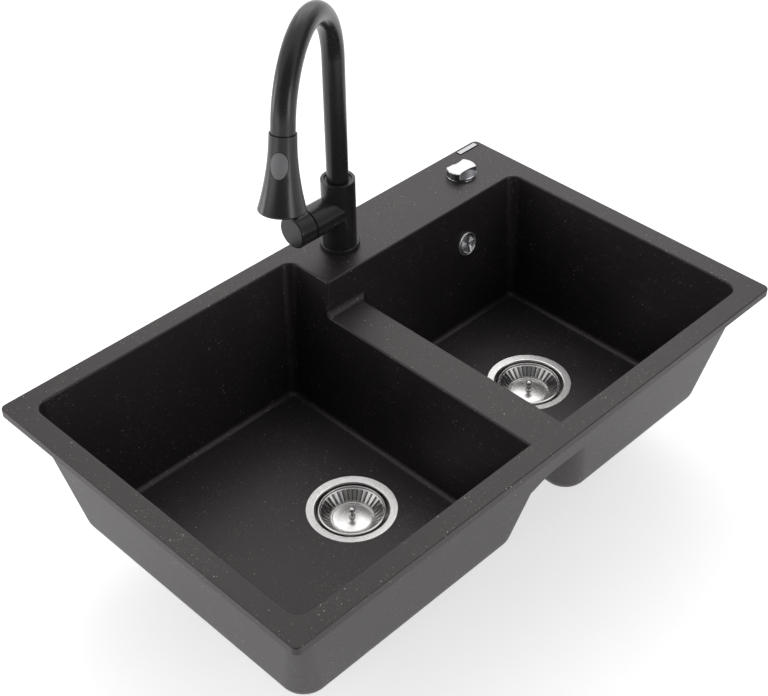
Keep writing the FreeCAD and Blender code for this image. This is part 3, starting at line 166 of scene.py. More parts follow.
def granite_composite(look):
    """Quartz sand in black acrylic resin, cast in a mould: a fine matt grain, with pale and golden grains
    that crowd together in places. Real sand is finer than a millimetre and is drawn coarser, so that it
    shows."""
    material, tree, shader = start_material("granite_composite")
    place = add(tree, "ShaderNodeTexCoord").outputs["Object"]
    sand = add(tree, "ShaderNodeTexNoise", {"Vector": place, "Scale": per_mm(look.sand_grain), "Detail": 3.0})
    cloud = add(tree, "ShaderNodeTexNoise", {"Vector": place, "Scale": per_mm(40), "Detail": 2.0})
    crowd = add(tree, "ShaderNodeMapRange", {"Value": cloud.outputs["Fac"], "From Min": 0.42, "From Max": 0.64,
                                             "To Min": 0.35, "To Max": 2.4})
    tone = add(tree, "ShaderNodeMix", {"Factor": sand.outputs["Fac"], "A": linear(look.stone_dark),
                                       "B": linear(look.stone_light)}, data_type="RGBA")
    colour = tone.outputs["Result"]
    for hex_colour, cell, radius, share in GRAINS:
        mask = grains(tree, place, crowd.outputs["Result"], cell, radius, share)
        colour = add(tree, "ShaderNodeMix", {"Factor": mask, "A": colour, "B": linear(hex_colour)},
                     data_type="RGBA").outputs["Result"]
    rough = add(tree, "ShaderNodeMapRange", {"Value": sand.outputs["Fac"], "To Min": look.stone_roughness - 0.06,
                                             "To Max": look.stone_roughness + 0.06})
    bump = add(tree, "ShaderNodeBump", {"Height": sand.outputs["Fac"], "Strength": 0.35, "Distance": 0.12 * MM})
    set_inputs(tree, shader, {"Base Color": colour, "Roughness": rough.outputs["Result"],
                              "Normal": bump.outputs["Normal"], "IOR": 1.5,
                              "Specular Tint": linear("#fff5f6")})
    return material


def coated(name, hex_colour, roughness, peel=0.9, depth=0.015, edge=0.4, sheen=0.5):
    """Powder coat, moulded plastic or rubber: one tone, a faint orange peel in the gloss and broken edges."""
    material, tree, shader = start_material(name)
    place = add(tree, "ShaderNodeTexCoord").outputs["Object"]
    skin = add(tree, "ShaderNodeTexNoise", {"Vector": place, "Scale": per_mm(peel), "Detail": 2.0})
    wear = add(tree, "ShaderNodeTexNoise", {"Vector": place, "Scale": per_mm(25), "Detail": 3.0})
    rough = add(tree, "ShaderNodeMapRange", {"Value": wear.outputs["Fac"], "To Min": roughness - 0.03,
                                             "To Max": roughness + 0.03})
    bump = add(tree, "ShaderNodeBump", {"Height": skin.outputs["Fac"], "Strength": 0.5, "Distance": depth * MM,
                                        "Normal": round_edges(tree, edge)})
    set_inputs(tree, shader, {"Base Color": linear(hex_colour), "Roughness": rough.outputs["Result"],
                              "Normal": bump.outputs["Normal"], "IOR": 1.5, "Specular IOR Level": sheen})
    return material


def metal(name, hex_colour, roughness, grain=0.4, depth=0.004, edge=0.3):
    """Bare or plated metal with the faint marks that its polishing leaves, drawn coarser than real ones."""
    material, tree, shader = start_material(name)
    place = add(tree, "ShaderNodeTexCoord").outputs["Object"]
    marks = add(tree, "ShaderNodeTexNoise", {"Vector": place, "Scale": per_mm(grain), "Detail": 3.0})
    rough = add(tree, "ShaderNodeMapRange", {"Value": marks.outputs["Fac"], "To Min": 0.8 * roughness,
                                             "To Max": 1.2 * roughness})
    bump = add(tree, "ShaderNodeBump", {"Height": marks.outputs["Fac"], "Strength": 0.4, "Distance": depth * MM,
                                        "Normal": round_edges(tree, edge)})
    set_inputs(tree, shader, {"Base Color": linear(hex_colour), "Metallic": 1.0,
                              "Roughness": rough.outputs["Result"], "Normal": bump.outputs["Normal"]})
    return material


def turned_steel(name, centre, roughness, ring=0.9, depth=0.010):
    """Stainless steel finished on a lathe: fine rings about a vertical axis, drawn coarse enough to show."""
    material, tree, shader = start_material(name)
    place = add(tree, "ShaderNodeTexCoord").outputs["Object"]
    shift = add(tree, "ShaderNodeMapping", {"Vector": place, "Location": (-centre.x, -centre.y, 0.0)})
    flat = add(tree, "ShaderNodeVectorMath", {0: shift.outputs["Vector"], 1: (1.0, 1.0, 0.0)},
               operation="MULTIPLY")
    radius = add(tree, "ShaderNodeVectorMath", {0: flat.outputs["Vector"]}, operation="LENGTH")
    rings = add(tree, "ShaderNodeTexNoise", {"W": radius.outputs["Value"], "Scale": per_mm(ring), "Detail": 3.0},
                noise_dimensions="1D")
    rough = add(tree, "ShaderNodeMapRange", {"Value": rings.outputs["Fac"], "To Min": 0.7 * roughness,
                                             "To Max": 1.3 * roughness})
    bump = add(tree, "ShaderNodeBump", {"Height": rings.outputs["Fac"], "Strength": 0.6, "Distance": depth * MM,
                                        "Normal": round_edges(tree, 0.35)})
    set_inputs(tree, shader, {"Base Color": linear("#e4e2e1"), "Metallic": 1.0,
                              "Roughness": rough.outputs["Result"], "Normal": bump.outputs["Normal"]})
    return material


def lit_table(glow):
    """Opal acrylic table with a light under it: matt white, with a faint cloudiness."""
    material, tree, shader = start_material("opal_acrylic_table")
    place = add(tree, "ShaderNodeTexCoord").outputs["Object"]
    cloud = add(tree, "ShaderNodeTexNoise", {"Vector": place, "Scale": per_mm(300), "Detail": 2.0})
    rough = add(tree, "ShaderNodeMapRange", {"Value": cloud.outputs["Fac"], "To Min": 0.75, "To Max": 0.85})
    set_inputs(tree, shader, {"Base Color": linear("#d8d8d8"), "Roughness": rough.outputs["Result"],
                              "Emission Color": linear("#ffffff"), "Emission Strength": glow})
    return material


def make_materials(look):
    """Every finish, by the record's slot name."""
    return {
        "granite": granite_composite(look),
        "satin_black": coated("satin_black_powder_coat", look.coat_colour, look.coat_roughness, sheen=0.36),
        "black_moulding": coated("black_abs_moulding", "#1d1c1d", 0.45),
        "grey_button": coated("grey_soft_touch_plastic", "#6a696b", 0.5, peel=0.5),
        "polished_steel": metal("polished_stainless_steel", "#dddbda", 0.12),
        "chrome": metal("chrome_plate", "#b8b8bb", 0.09),
        "satin_chrome": metal("satin_chrome_plate", "#f2f2f4", 0.34),
        "brass": metal("turned_brass", "#c9a55c", 0.3),
        "zinc_steel": metal("zinc_plated_steel", "#b9bbbe", 0.35),
        "rubber": coated("epdm_rubber", "#171717", 0.7, peel=1.4, depth=0.05),
        "white_plastic": coated("white_pom", "#e2e1dc", 0.4),
        "hose": coated("nylon_braid", "#1b1b1b", 0.6, peel=0.7, depth=0.2),
        "nameplate": metal("brushed_aluminium", "#a8a8ab", 0.3, grain=2.5, depth=0.12),
        # plate_edge: near black with almost no sheen, painted shadow of the gap round the name plate
        "plate_edge": coated("painted_shadow_gap_black", "#0b0b0b", 0.75, peel=1.4, sheen=0.05),
    }


# ---- mesh tools ----------------------------------------------------------------------------
WELD = 0.002  # points nearer than this, in mm, are one point
SLIVER = 0.0005  # edges shorter than this, in mm, are closed
FLAT_WEIGHT = 80  # how far large flat faces set the shading of the small ones beside them


def smooth(mesh, angle):
    """Smooth shading that keeps edges sharper than angle crisp."""
    mesh.shade_smooth()
    mesh.set_sharp_from_angle(angle=math.radians(angle))


def finish_piece(piece, body, material, nodes=()):
    """Gives a finished mesh its material, the CAD nodes that it stands for and, unless it is None, its body."""
    piece.data.materials.clear()
    piece.data.materials.append(material)
    if body:
        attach(piece, body)
    if nodes:
        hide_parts(*nodes)
    return piece


def fair_copy(node, material, angle=28.0):
    """Welded copy of a CAD node whose curved faces shade smoothly and whose flat faces stay flat."""
    mesh = frame["nodes"][node].data.copy()
    work = bmesh.new()
    work.from_mesh(mesh)
    bmesh.ops.remove_doubles(work, verts=work.verts, dist=WELD * MM)
    bmesh.ops.dissolve_degenerate(work, edges=work.edges, dist=SLIVER * MM)
    work.to_mesh(mesh)
    work.free()
    for name in [a.name for a in mesh.attributes if a.name == "custom_normal"]:
        mesh.attributes.remove(mesh.attributes[name])
    smooth(mesh, angle)
    piece = bpy.data.objects.new(node + "_finish", mesh)
    bpy.context.scene.collection.objects.link(piece)
    weigh = piece.modifiers.new("weigh_normals", "WEIGHTED_NORMAL")
    weigh.keep_sharp = True
    weigh.weight = FLAT_WEIGHT
    apply_modifiers(piece)
    return finish_piece(piece, BODY_OF[node], material, [node])


def apply_modifiers(piece):
    """Turns a piece with modifiers into a plain mesh."""
    graph = bpy.context.evaluated_depsgraph_get()
    plain = bpy.data.meshes.new_from_object(piece.evaluated_get(graph), depsgraph=graph)
    piece.modifiers.clear()
    piece.data = plain


def round_corners(points, steps=4):
    """Outline in which each corner given as (across, up, radius) becomes an arc."""
    outline = []
    for i, point in enumerate(points):
        here = Vector(point[:2])
        if len(point) == 2:
            outline.append(here)
            continue
        back = (Vector(points[i - 1][:2]) - here).normalized()
        ahead = (Vector(points[(i + 1) % len(points)][:2]) - here).normalized()
        half = back.angle(ahead) / 2
        middle = here + (back + ahead).normalized() * point[2] / math.sin(half)
        first = here + back * point[2] / math.tan(half) - middle
        last = here + ahead * point[2] / math.tan(half) - middle
        outline += [middle + first.slerp(last, step / steps) for step in range(steps + 1)]
    return outline


def turned(profile, steps=96):
    """Solid of revolution about Z. The profile's points are (radius, height) or (radius, height, corner radius)
    in millimetres; it either starts and ends on the axis or closes on itself."""
    work = bmesh.new()
    rows = []
    for radius, height in round_corners(profile):
        count = steps if radius > 0 else 1
        rows.append([work.verts.new((radius * math.cos(math.tau * k / count) * MM,
                                     radius * math.sin(math.tau * k / count) * MM, height * MM))
                     for k in range(count)])
    for row, following in zip(rows, rows[1:] + rows[:1]):
        if len(row) == len(following) == 1:
            continue
        for k in range(steps):
            corners_of_face = [row[k % len(row)], row[(k + 1) % len(row)],
                               following[(k + 1) % len(following)], following[k % len(following)]]
            work.faces.new(list(dict.fromkeys(corners_of_face)))
    bmesh.ops.recalc_face_normals(work, faces=work.faces)
    mesh = bpy.data.meshes.new("turned")
    work.to_mesh(mesh)
    work.free()
    return mesh


def lofted(rows):
    """Closed solid through rows of points that have the same number each; the first and last row are capped."""
    work = bmesh.new()
    made = [[work.verts.new(Vector(point) * MM) for point in row] for row in rows]
    for row, following in zip(made, made[1:]):
        for k in range(len(row)):
            work.faces.new((row[k - 1], row[k], following[k], following[k - 1]))
    work.faces.new(made[0])
    work.faces.new(made[-1])
    bmesh.ops.recalc_face_normals(work, faces=work.faces)
    mesh = bpy.data.meshes.new("lofted")
    work.to_mesh(mesh)
    work.free()
    return mesh


def joined(meshes):
    """One mesh out of several."""
    work = bmesh.new()
    for mesh in meshes:
        work.from_mesh(mesh)
    mesh = bpy.data.meshes.new("joined")
    work.to_mesh(mesh)
    work.free()
    return mesh


def new_piece(name, mesh, angle=35.0):
    """Object with crisp and smooth edges told apart by their angle."""
    smooth(mesh, angle)
    piece = bpy.data.objects.new(name, mesh)
    bpy.context.scene.collection.objects.link(piece)
    return piece


def stand(axis, place):
    """Matrix that takes the Z axis to the given axis and the origin to the given place."""
    turn = Vector((0, 0, 1)).rotation_difference(Vector(axis))
    return Matrix.Translation(place) @ turn.to_matrix().to_4x4()


def around_an_axis():
    """Geometry Nodes: Count copies of the piece in equal steps about Z, moved to Place."""
    tree = bpy.data.node_groups.new("around_an_axis", "GeometryNodeTree")
    tree.interface.new_socket("Piece", in_out="INPUT", socket_type="NodeSocketGeometry")
    for name, kind in (("Count", "NodeSocketInt"), ("Place", "NodeSocketVector"), ("Finish", "NodeSocketMaterial")):
        tree.interface.new_socket(name, in_out="INPUT", socket_type=kind)
    tree.interface.new_socket("Ring", in_out="OUTPUT", socket_type="NodeSocketGeometry")
    given = add(tree, "NodeGroupInput").outputs
    step = add(tree, "ShaderNodeMath", {0: math.tau, 1: given["Count"]}, operation="DIVIDE")
    index = add(tree, "GeometryNodeInputIndex")
    angle = add(tree, "ShaderNodeMath", {0: index.outputs["Index"], 1: step.outputs["Value"]},
                operation="MULTIPLY")
    turn = add(tree, "FunctionNodeAxisAngleToRotation", {"Axis": (0, 0, 1), "Angle": angle.outputs["Value"]})
    points = add(tree, "GeometryNodePoints", {"Count": given["Count"]})
    copies = add(tree, "GeometryNodeInstanceOnPoints", {"Points": points.outputs[0], "Instance": given["Piece"],
                                                        "Rotation": turn.outputs["Rotation"]})
    placed = add(tree, "GeometryNodeTransform", {"Geometry": copies.outputs["Instances"],
                                                 "Translation": given["Place"]})
    plain = add(tree, "GeometryNodeRealizeInstances", {"Geometry": placed.outputs["Geometry"]})
    finished = add(tree, "GeometryNodeSetMaterial", {"Geometry": plain.outputs["Geometry"],
                                                     "Material": given["Finish"]})
    add(tree, "NodeGroupOutput", {"Ring": finished.outputs["Geometry"]})
    return tree


def ring_of(mesh, count, finish, place=(0, 0, 0)):
    """Mesh of count copies of a piece about Z."""
    tree = bpy.data.node_groups.get("around_an_axis") or around_an_axis()
    single = bpy.data.objects.new("single", mesh)
    bpy.context.scene.collection.objects.link(single)
    repeat = single.modifiers.new("repeat", "NODES")
    repeat.node_group = tree
    sockets = {item.name: item.identifier for item in tree.interface.items_tree if item.in_out == "INPUT"}
    for name, value in (("Count", count), ("Place", Vector(place) * MM), ("Finish", finish)):
        repeat[sockets[name]] = value
    apply_modifiers(single)
    whole = single.data
    bpy.data.objects.remove(single)
    return whole


# ---- sizes and colours that a user would change ---------------------------------------------
class SinkLook(bpy.types.PropertyGroup):
    """Finishes of the stone and the coating."""
    stone_dark: StringProperty(name="Stone, dark", description="Darkest tone of the sand", default="#141213")
    stone_light: StringProperty(name="Stone, light", description="Lightest tone of the sand", default="#292627")
    stone_roughness: FloatProperty(name="Stone roughness", description="Gloss of the cast surface", default=0.42,
                                   min=0.0, max=1.0, subtype="FACTOR")
    sand_grain: FloatProperty(name="Sand grain", description="Grain of the sand in millimetres", default=1.1,
                              min=0.2, max=5.0)
    steel_roughness: FloatProperty(name="Steel roughness", description="Gloss of the turned steel", default=0.24,
                                   min=0.0, max=1.0, subtype="FACTOR")
    strainer_slots: IntProperty(name="Strainer slots", description="Slots in each strainer's cone", default=36,
                                min=8, max=90)
    coat_colour: StringProperty(name="Coating", description="Colour of the tap's coating", default="#242324")
    coat_roughness: FloatProperty(name="Coating roughness", description="Gloss of the tap's coating",
                                  default=0.27, min=0.0, max=1.0, subtype="FACTOR")


class SinkStage(bpy.types.PropertyGroup):
    """Camera, lights and floor."""
    focal_length: FloatProperty(name="Focal length", description="Lens on a 36 mm wide sensor", default=70.9,
                                min=10.0, max=300.0, unit="CAMERA")
    azimuth: FloatProperty(name="Azimuth", description="Direction in which the camera looks, from +Y to +X",
                           default=math.radians(45.96), subtype="ANGLE")
    elevation: FloatProperty(name="Elevation", description="How far the camera looks down",
                             default=math.radians(38.71), subtype="ANGLE")
    roll: FloatProperty(name="Roll", description="Turn about the line of sight", default=math.radians(0.105),
                        subtype="ANGLE")
    target: FloatVectorProperty(name="Target", description="Point that the camera looks at",
                                default=(0.0376, 0.0116, 0.010), subtype="TRANSLATION")
    distance: FloatProperty(name="Distance", description="From the camera to the target", default=1.8301,
                            min=0.1, max=20.0, unit="LENGTH")
    shift: FloatVectorProperty(name="Shift", description="Shift of the lens", default=(-0.0448, -0.0284), size=2)
    surround: FloatProperty(name="Surround", description="Brightness of the white studio", default=1.0, min=0.0,
                            max=5.0)
    flag_height: FloatProperty(name="Flag height", description="Elevation of the black flag's middle",
                               default=math.radians(35), subtype="ANGLE")
    flag_reach: FloatProperty(name="Flag reach", description="Half the angle that the black flag covers",
                              default=math.radians(60), subtype="ANGLE")
    side_azimuth: FloatProperty(name="Side flag azimuth", description="Direction of the flag at the right",
                                default=math.radians(120), subtype="ANGLE")
    side_height: FloatProperty(name="Side flag height", description="Elevation of the side flag's middle",
                               default=math.radians(5), subtype="ANGLE")
    side_reach: FloatProperty(name="Side flag reach", description="Half the angle that the side flag covers",
                              default=math.radians(40), subtype="ANGLE")
    flag_tone: FloatProperty(name="Flag tone", description="What a flag leaves of the studio's light", default=0.1,
                             min=0.0, max=1.0, subtype="FACTOR")
    table_glow: FloatProperty(name="Table glow", description="Light that comes up through the white table",
                              default=0.6, min=0.0, max=2.0)
    floor_reach: FloatProperty(name="Floor reach", description="Half the side of the floor", default=30.0,
                               min=1.0, max=100.0, unit="LENGTH")


# ---- operators: one for each piece or group of like pieces ----------------------------------
class SinkOperator:
    """What the operators share."""
    bl_options = {"REGISTER", "UNDO"}
    finishes = {}


class SINK_OT_stone(SinkOperator, bpy.types.Operator):
    """Cast sink body"""
    bl_idname = "sink.stone"
    bl_label = "Sink body"

    def execute(self, context):
        fair_copy("sink_body", self.finishes["granite"])
        return {"FINISHED"}


# Strainer basket: radii and heights from the top of its rim, in mm.
CONE_TOP = (39.3, -1.8)
CONE_LOW = (25.5, -14.0)
SHEET = 1.3
SLOT = 1.3
SLOT_START = 27.4
SLOT_END = 38.4
CROWN = 0.22
PLATE_DOME = 1.3
STEM_HOLE = 2.6


def cone_height(radius):
    """Height of the strainer's cone at a radius."""
    share = (radius - CONE_LOW[0]) / (CONE_TOP[0] - CONE_LOW[0])
    return CONE_LOW[1] + share * (CONE_TOP[1] - CONE_LOW[1])


def slat_row(radius, count, crown):
    """Section across one of the bars between the strainer's slots."""
    half = radius * math.tan(math.pi / count) - SLOT / 2
    level = cone_height(radius)
    return [(radius, -half, level), (radius, -half / 2, level + 0.7 * crown), (radius, 0, level + crown),
            (radius, half / 2, level + 0.7 * crown), (radius, half, level), (radius, half, level - SHEET),
            (radius, -half, level - SHEET)]


def strainer(steel, slots):
    """Dish pressed from sheet steel: a rolled rim, a cone of crowned bars and a domed plate in the middle."""
    rim_radius = CONE_TOP[0] + 2.7
    rim = [(SLOT_END - 0.3, cone_height(SLOT_END - 0.3)), (CONE_TOP[0], CONE_TOP[1], 0.4),
           (CONE_TOP[0] + 0.8, 0.0, 0.6), (rim_radius, 0.0, 0.9), (rim_radius, -1.9, 0.6),
           (CONE_TOP[0] + 0.8, -2.7), (SLOT_END - 0.3, cone_height(SLOT_END - 0.3) - SHEET)]
    edge = SLOT_START + 0.3
    border = CONE_LOW[0] - 0.7
    dome = [(radius, CONE_LOW[1] + PLATE_DOME * (1 - (radius / CONE_LOW[0]) ** 2))
            for radius in (STEM_HOLE, 6.0, 10.0, 14.0, 18.0, 21.5, border - 0.9)]
    plate = dome + [(border, CONE_LOW[1] + 0.75, 0.3), (CONE_LOW[0] + 0.2, CONE_LOW[1] + 0.2, 0.3),
                    (edge, cone_height(edge)), (edge, cone_height(edge) - SHEET), (CONE_LOW[0], CONE_LOW[1] - 1.0),
                    (STEM_HOLE, CONE_LOW[1] - 1.0)]
    bar = lofted([slat_row(SLOT_START - 0.2, slots, 0.0), slat_row(SLOT_START + 0.8, slots, CROWN),
                  slat_row(SLOT_END - 0.8, slots, CROWN), slat_row(SLOT_END + 0.2, slots, 0.0)])
    return joined([turned(rim, 144), turned(plate, 144), ring_of(bar, slots, steel)])


class SINK_OT_wastes(SinkOperator, bpy.types.Operator):
    """Waste flanges and strainer baskets"""
    bl_idname = "sink.wastes"
    bl_label = "Wastes"

    def execute(self, context):
        look = context.scene.sink_look
        for side in SIDES:
            low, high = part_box(side + "_basket")
            centre = (low + high) / 2
            steel = turned_steel(side + "_turned_steel", centre, look.steel_roughness)
            for part in ("waste_flange", "basket_knob", "waste_screw"):
                fair_copy(side + "_" + part, steel)
            dish = strainer(steel, look.strainer_slots)
            dish.transform(Matrix.Translation((centre.x, centre.y, high.z)))
            node = side + "_basket"
            finish_piece(new_piece(side + "_strainer_dish", dish), BODY_OF[node], steel, [node])
        return {"FINISHED"}


# Overflow cover: radii and heights from the wall, in mm.
COVER_R = 16.8
COVER_FACE = 0.3
COVER_TOP = 3.0
RING_WIDTH = 1.8
RING_TOP = 2.3
BACKING_R = 15.9
BACKING = (-0.8, 0.4)
PETAL_R = 13.4
RIDGE_INSET = 0.55
DISH = 2.6
DISH_TIP = 0.05
CROSS = 1.8
SLEEVE = (10.5, 12.5, -17.3)
COVER_TURN = math.radians(3)
WALL_LEAN = math.atan(0.144)


def quarter(radius, inset, height, steps=8):
    """Corner points of a quarter of the cover between two arms of its cross."""
    gap = CROSS / 2 + inset
    reach = radius - inset
    start = math.asin(gap / reach)
    sweep = math.pi / 2 - 2 * start
    arc = [(reach * math.cos(start + sweep * k / steps), reach * math.sin(start + sweep * k / steps), height)
           for k in range(steps + 1)]
    return [(gap, gap, height)] + arc


def petal():
    """Raised quarter whose face is dished like an open pyramid."""
    outer = quarter(PETAL_R, 0.0, COVER_FACE)
    ridge = quarter(PETAL_R, RIDGE_INSET, COVER_TOP)
    middle = sum((Vector(point) for point in ridge), Vector()) / len(ridge)
    middle.z = COVER_TOP - DISH
    floor = [tuple(middle + (Vector(point) - middle) * DISH_TIP) for point in ridge]
    floor = [(x, y, middle.z) for x, y, z in floor]
    return lofted([outer, ridge, floor])


class SINK_OT_overflow(SinkOperator, bpy.types.Operator):
    """Overflow cover with its four dished quarters"""
    bl_idname = "sink.overflow"
    bl_label = "Overflow cover"

    def execute(self, context):
        node = "overflow_rose"
        finish = self.finishes["satin_chrome"]
        low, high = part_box(node)
        out = Vector((0, -math.cos(WALL_LEAN), math.sin(WALL_LEAN)))
        centre = (low + high) / 2
        centre -= out * ((COVER_TOP + SLEEVE[2]) / 2 * MM)
        inner, outer, back = SLEEVE
        ring = [(COVER_R - RING_WIDTH, 0.0), (COVER_R, 0.0), (COVER_R, RING_TOP, 0.8),
                (COVER_R - RING_WIDTH, RING_TOP, 0.6)]
        sleeve = [(inner, back), (outer, back), (outer, COVER_FACE / 2), (inner, COVER_FACE / 2)]
        cover = joined([turned(ring), ring_of(petal(), 4, finish)])
        low_face, top_face = BACKING
        disc = [(0, low_face), (inner, low_face), (inner, 0.0), (BACKING_R, 0.0), (BACKING_R, top_face),
                (0, top_face)]
        backing = joined([turned(sleeve, 64), turned(disc, 64)])
        for mesh in (cover, backing):
            mesh.transform(Matrix.Rotation(COVER_TURN, 4, "Z"))
            mesh.transform(stand(out, centre))
        finish_piece(new_piece("overflow_cover", cover, 20), BODY_OF[node], finish, [node])
        finish_piece(new_piece("overflow_backing", backing, 20), BODY_OF[node], self.finishes["black_moulding"],
                     [node])
        return {"FINISHED"}


def plate_row(length, width, corner, inset, height, steps=5):
    """Rounded rectangle, set in by inset, at a height."""
    row = []
    for k, (x, y) in enumerate(((1, 1), (-1, 1), (-1, -1), (1, -1))):
        for step in range(steps + 1):
            angle = math.pi / 2 * (k + step / steps)
            row.append((x * (length / 2 - corner) + (corner - inset) * math.cos(angle),
                        y * (width / 2 - corner) + (corner - inset) * math.sin(angle), height))
    return row


# Deck plate, in mm. The black surround is painted shadow of the gap round the plate.
PLATE_CORNER = 1.45
PAINTED_SHADOW_WIDTH = 1.3


class SINK_OT_name_plate(SinkOperator, bpy.types.Operator):
    """Bare plate on the deck in a black surround that paints the shadow of the gap round it"""
    bl_idname = "sink.name_plate"
    bl_label = "Name plate"

    def execute(self, context):
        node = "name_plate"
        low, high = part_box(node)
        length, width, thick = (high - low) / MM
        foot = Vector(((low.x + high.x) / 2, (low.y + high.y) / 2, low.z))
        # The surround is painted shadow: a black, nearly sheenless frame for the gap round the plate; its slot word
        # rubber only picks the plate_edge finish.
        for name, slot, inset, levels in (
                ("name_plate_painted_shadow", "rubber", 0.0, ((0.0, 0.0), (0.0, 0.35), (0.15, 0.45))),
                ("name_plate_face", "nameplate", PAINTED_SHADOW_WIDTH,
                 ((0.0, 0.3), (0.0, thick - 0.1), (0.1, thick)))):
            rows = [plate_row(length, width, PLATE_CORNER, inset + step, height) for step, height in levels]
            mesh = lofted(rows)
            mesh.transform(Matrix.Translation(foot))
            finish = self.finishes["plate_edge" if slot == "rubber" else slot]
            finish_piece(new_piece(name, mesh), BODY_OF[node], finish, [node])
        return {"FINISHED"}


# Spray face: rings of nozzles as (radius, how many), and the size of a nozzle, in mm.
NOZZLE_RINGS = ((21.6, 28), (18.0, 24), (14.4, 18), (10.9, 14))
NOZZLE = ((1.0, -0.3), (0.95, 0.2), (0.55, 0.75), (0.3, 0.75))


class SINK_OT_spray(SinkOperator, bpy.types.Operator):
    """Nozzles and jet former of the spray head, and the hose behind it"""
    bl_idname = "sink.spray"
    bl_label = "Spray head"

    def execute(self, context):
        along = Vector(next(joint["axis"] for joint in frame["joints"] if joint["name"] == "spray_pull_out"))
        low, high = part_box("spray_face")
        rubber = self.finishes["rubber"]
        tip = [(0, NOZZLE[0][1])] + list(NOZZLE) + [(0, NOZZLE[-1][1] - 0.3)]
        rings = []
        for radius, count in NOZZLE_RINGS:
            nozzle = turned(tip, 12)
            nozzle.transform(Matrix.Translation((radius * MM, 0, 0)))
            rings.append(ring_of(nozzle, count, rubber))
        nozzles = joined(rings)
        face_half = 1.6
        nozzles.transform(stand(along, (low + high) / 2 + along * (face_half * MM)))
        finish_piece(new_piece("spray_nozzles", nozzles), "spray", rubber)

        node = "aerator"
        low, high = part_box(node)
        radius, half = 8.0, 1.8
        cup = [(0, -half), (radius, -half), (radius, half, 0.3), (radius - 1.3, half, 0.3),
               (radius - 1.3, half - 1.4), (0, half - 1.4)]
        hoops = [turned([(r - 0.25, half - 1.5), (r + 0.25, half - 1.5), (r + 0.25, half - 0.3),
                         (r - 0.25, half - 0.3)], 48) for r in (1.4, 3.2, 5.0)]
        spoke = lofted([[(0.0, -0.22, z), (radius - 1.2, -0.22, z), (radius - 1.2, 0.22, z), (0.0, 0.22, z)]
                        for z in (half - 1.5, half - 0.35)])
        former = joined([turned(cup, 64), ring_of(spoke, 12, self.finishes["black_moulding"])] + hoops)
        former.transform(stand(along, (low + high) / 2))
        finish_piece(new_piece("jet_former", former), BODY_OF[node], self.finishes["black_moulding"],
                     [node])

        node = "spray_hose"
        low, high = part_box(node)
        centre = (low + high) / 2
        radius, half, rows = 6.0, 6.25, 60
        skin = [(radius, half - 2 * half * row / rows) for row in range(rows + 1)]
        hose = turned([(0, half)] + skin + [(0, -half)], 48)
        hose.transform(stand(along, centre))
        piece = new_piece("spray_hose_braid", hose)
        finish_piece(piece, None, self.finishes["hose"], [node])
        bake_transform(piece, "spout", "spray", start=centre - along * (0.8 * half * MM),
                 end=centre + along * (0.8 * half * MM))
        return {"FINISHED"}


class SINK_OT_rest(SinkOperator, bpy.types.Operator):
    """All pieces that keep the shape of their solids"""
    bl_idname = "sink.rest"
    bl_label = "Other pieces"

    def execute(self, context):
        for node in frame["nodes"]:
            if not frame["nodes"][node].hide_render:
                fair_copy(node, self.finishes[SLOT_OF[node]])
        return {"FINISHED"}


def area_light(name, place, aim, size, energy):
    """White rectangular soft box that faces a point."""
    lamp = bpy.data.lights.new(name, "AREA")
    lamp.shape = "RECTANGLE"
    lamp.size, lamp.size_y = size
    lamp.energy = energy
    light = bpy.data.objects.new(name, lamp)
    light.location = place
    light.rotation_euler = (Vector(aim) - Vector(place)).to_track_quat("-Z", "Y").to_euler()
    bpy.context.scene.collection.objects.link(light)


def studio_world(stage):
    """White studio all round, with a black flag behind the camera and another at the right. The flags show in
    reflections only: the backdrop itself stays white."""
    world = bpy.data.worlds.new("studio")
    world.use_nodes = True
    tree = world.node_tree
    tree.nodes.clear()
    way = add(tree, "ShaderNodeTexCoord").outputs["Generated"]
    strength = stage.surround
    for azimuth, height, reach in ((stage.azimuth + math.pi, stage.flag_height, stage.flag_reach),
                                   (stage.side_azimuth, stage.side_height, stage.side_reach)):
        flag = Vector((math.sin(azimuth), math.cos(azimuth), math.tan(height))).normalized()
        towards = add(tree, "ShaderNodeVectorMath", {0: way, 1: tuple(flag)}, operation="DOT_PRODUCT")
        shade = add(tree, "ShaderNodeMapRange", {"Value": towards.outputs["Value"], "From Min": math.cos(reach),
                                                 "From Max": math.cos(reach / 2), "To Min": 1.0,
                                                 "To Max": stage.flag_tone}, interpolation_type="SMOOTHSTEP")
        left = add(tree, "ShaderNodeMath", {0: shade.outputs["Result"], 1: strength}, operation="MULTIPLY")
        strength = left.outputs["Value"]
    seen = add(tree, "ShaderNodeLightPath").outputs["Is Camera Ray"]
    backdrop = add(tree, "ShaderNodeMix", {"Factor": seen, "A": strength, "B": stage.surround}, data_type="FLOAT")
    glow = add(tree, "ShaderNodeBackground", {"Color": linear("#ffffff"), "Strength": backdrop.outputs["Result"]})
    add(tree, "ShaderNodeOutputWorld", {"Surface": glow.outputs["Background"]})
    return world


# Soft boxes: name, place and aim in metres, width and height in metres, power in watts.
SOFT_BOXES = (
    ("left_soft_box", (-2.1, 0.4, 0.15), (0, 0, 0.0), (1.6, 0.7), 5),
    ("far_left_soft_box", (-1.3, 2.1, 0.35), (0, 0.1, 0.2), (0.8, 1.1), 12),
    ("front_soft_box", (0.1, -2.4, 0.5), (0.0, 0.0, 0.1), (0.8, 1.3), 13),
    ("back_soft_box", (1.7, 1.6, 2.0), (0, 0, 0), (2.4, 2.0), 16),
)


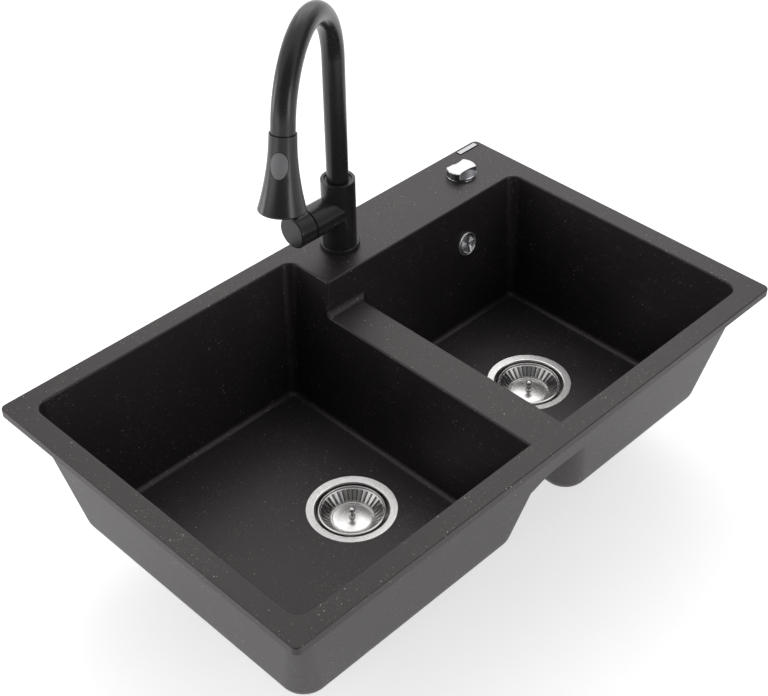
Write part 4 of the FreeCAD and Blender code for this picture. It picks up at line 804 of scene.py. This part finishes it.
class SINK_OT_stage(SinkOperator, bpy.types.Operator):
    """Floor, soft lights and camera"""
    bl_idname = "sink.stage"
    bl_label = "Stage"

    def execute(self, context):
        stage = context.scene.sink_stage
        scene = context.scene
        reach = stage.floor_reach
        level = CAD_BOX[0][2]
        mesh = bpy.data.meshes.new("floor")
        mesh.from_pydata([(-reach, -reach, level), (reach, -reach, level), (reach, reach, level),
                          (-reach, reach, level)], [], [(0, 1, 2, 3)])
        floor = bpy.data.objects.new("floor", mesh)
        scene.collection.objects.link(floor)
        mesh.materials.append(lit_table(stage.table_glow))

        scene.world = studio_world(stage)
        scene.view_settings.view_transform = "Standard"
        for soft_box in SOFT_BOXES:
            area_light(*soft_box)

        camera_data = bpy.data.cameras.new("camera")
        camera_data.lens = stage.focal_length
        camera_data.sensor_width = 36.0
        camera_data.shift_x, camera_data.shift_y = stage.shift
        camera_data.clip_end = 100.0
        camera = bpy.data.objects.new("camera", camera_data)
        scene.collection.objects.link(camera)
        turn = (Matrix.Rotation(-stage.azimuth, 3, "Z") @ Matrix.Rotation(math.pi / 2 - stage.elevation, 3, "X")
                @ Matrix.Rotation(stage.roll, 3, "Z"))
        camera.matrix_world = (Matrix.Translation(Vector(stage.target) + turn @ Vector((0, 0, stage.distance)))
                               @ turn.to_4x4())
        scene.camera = camera
        return {"FINISHED"}


STEPS = (SINK_OT_stone, SINK_OT_wastes, SINK_OT_overflow, SINK_OT_name_plate, SINK_OT_spray, SINK_OT_rest,
         SINK_OT_stage)


class SINK_PT_panel(bpy.types.Panel):
    """Buttons for every step and the values that they use"""
    bl_label = "Sink"
    bl_idname = "SINK_PT_panel"
    bl_space_type = "VIEW_3D"
    bl_region_type = "UI"
    bl_category = "Sink"

    def draw(self, context):
        for group in (context.scene.sink_look, context.scene.sink_stage):
            for name in group.__annotations__:
                self.layout.prop(group, name)
        for step in STEPS:
            self.layout.operator(step.bl_idname)


CLASSES = (SinkLook, SinkStage) + STEPS + (SINK_PT_panel,)


def register():
    for each in CLASSES:
        bpy.utils.register_class(each)
    bpy.types.Scene.sink_look = PointerProperty(type=SinkLook)
    bpy.types.Scene.sink_stage = PointerProperty(type=SinkStage)


def unregister():
    del bpy.types.Scene.sink_stage
    del bpy.types.Scene.sink_look
    for each in reversed(CLASSES):
        bpy.utils.unregister_class(each)


def main():
    register()
    SinkOperator.finishes = make_materials(bpy.context.scene.sink_look)
    for step in STEPS:
        group, name = step.bl_idname.split(".")
        getattr(getattr(bpy.ops, group), name)()


if __name__ == "__main__":
    main()
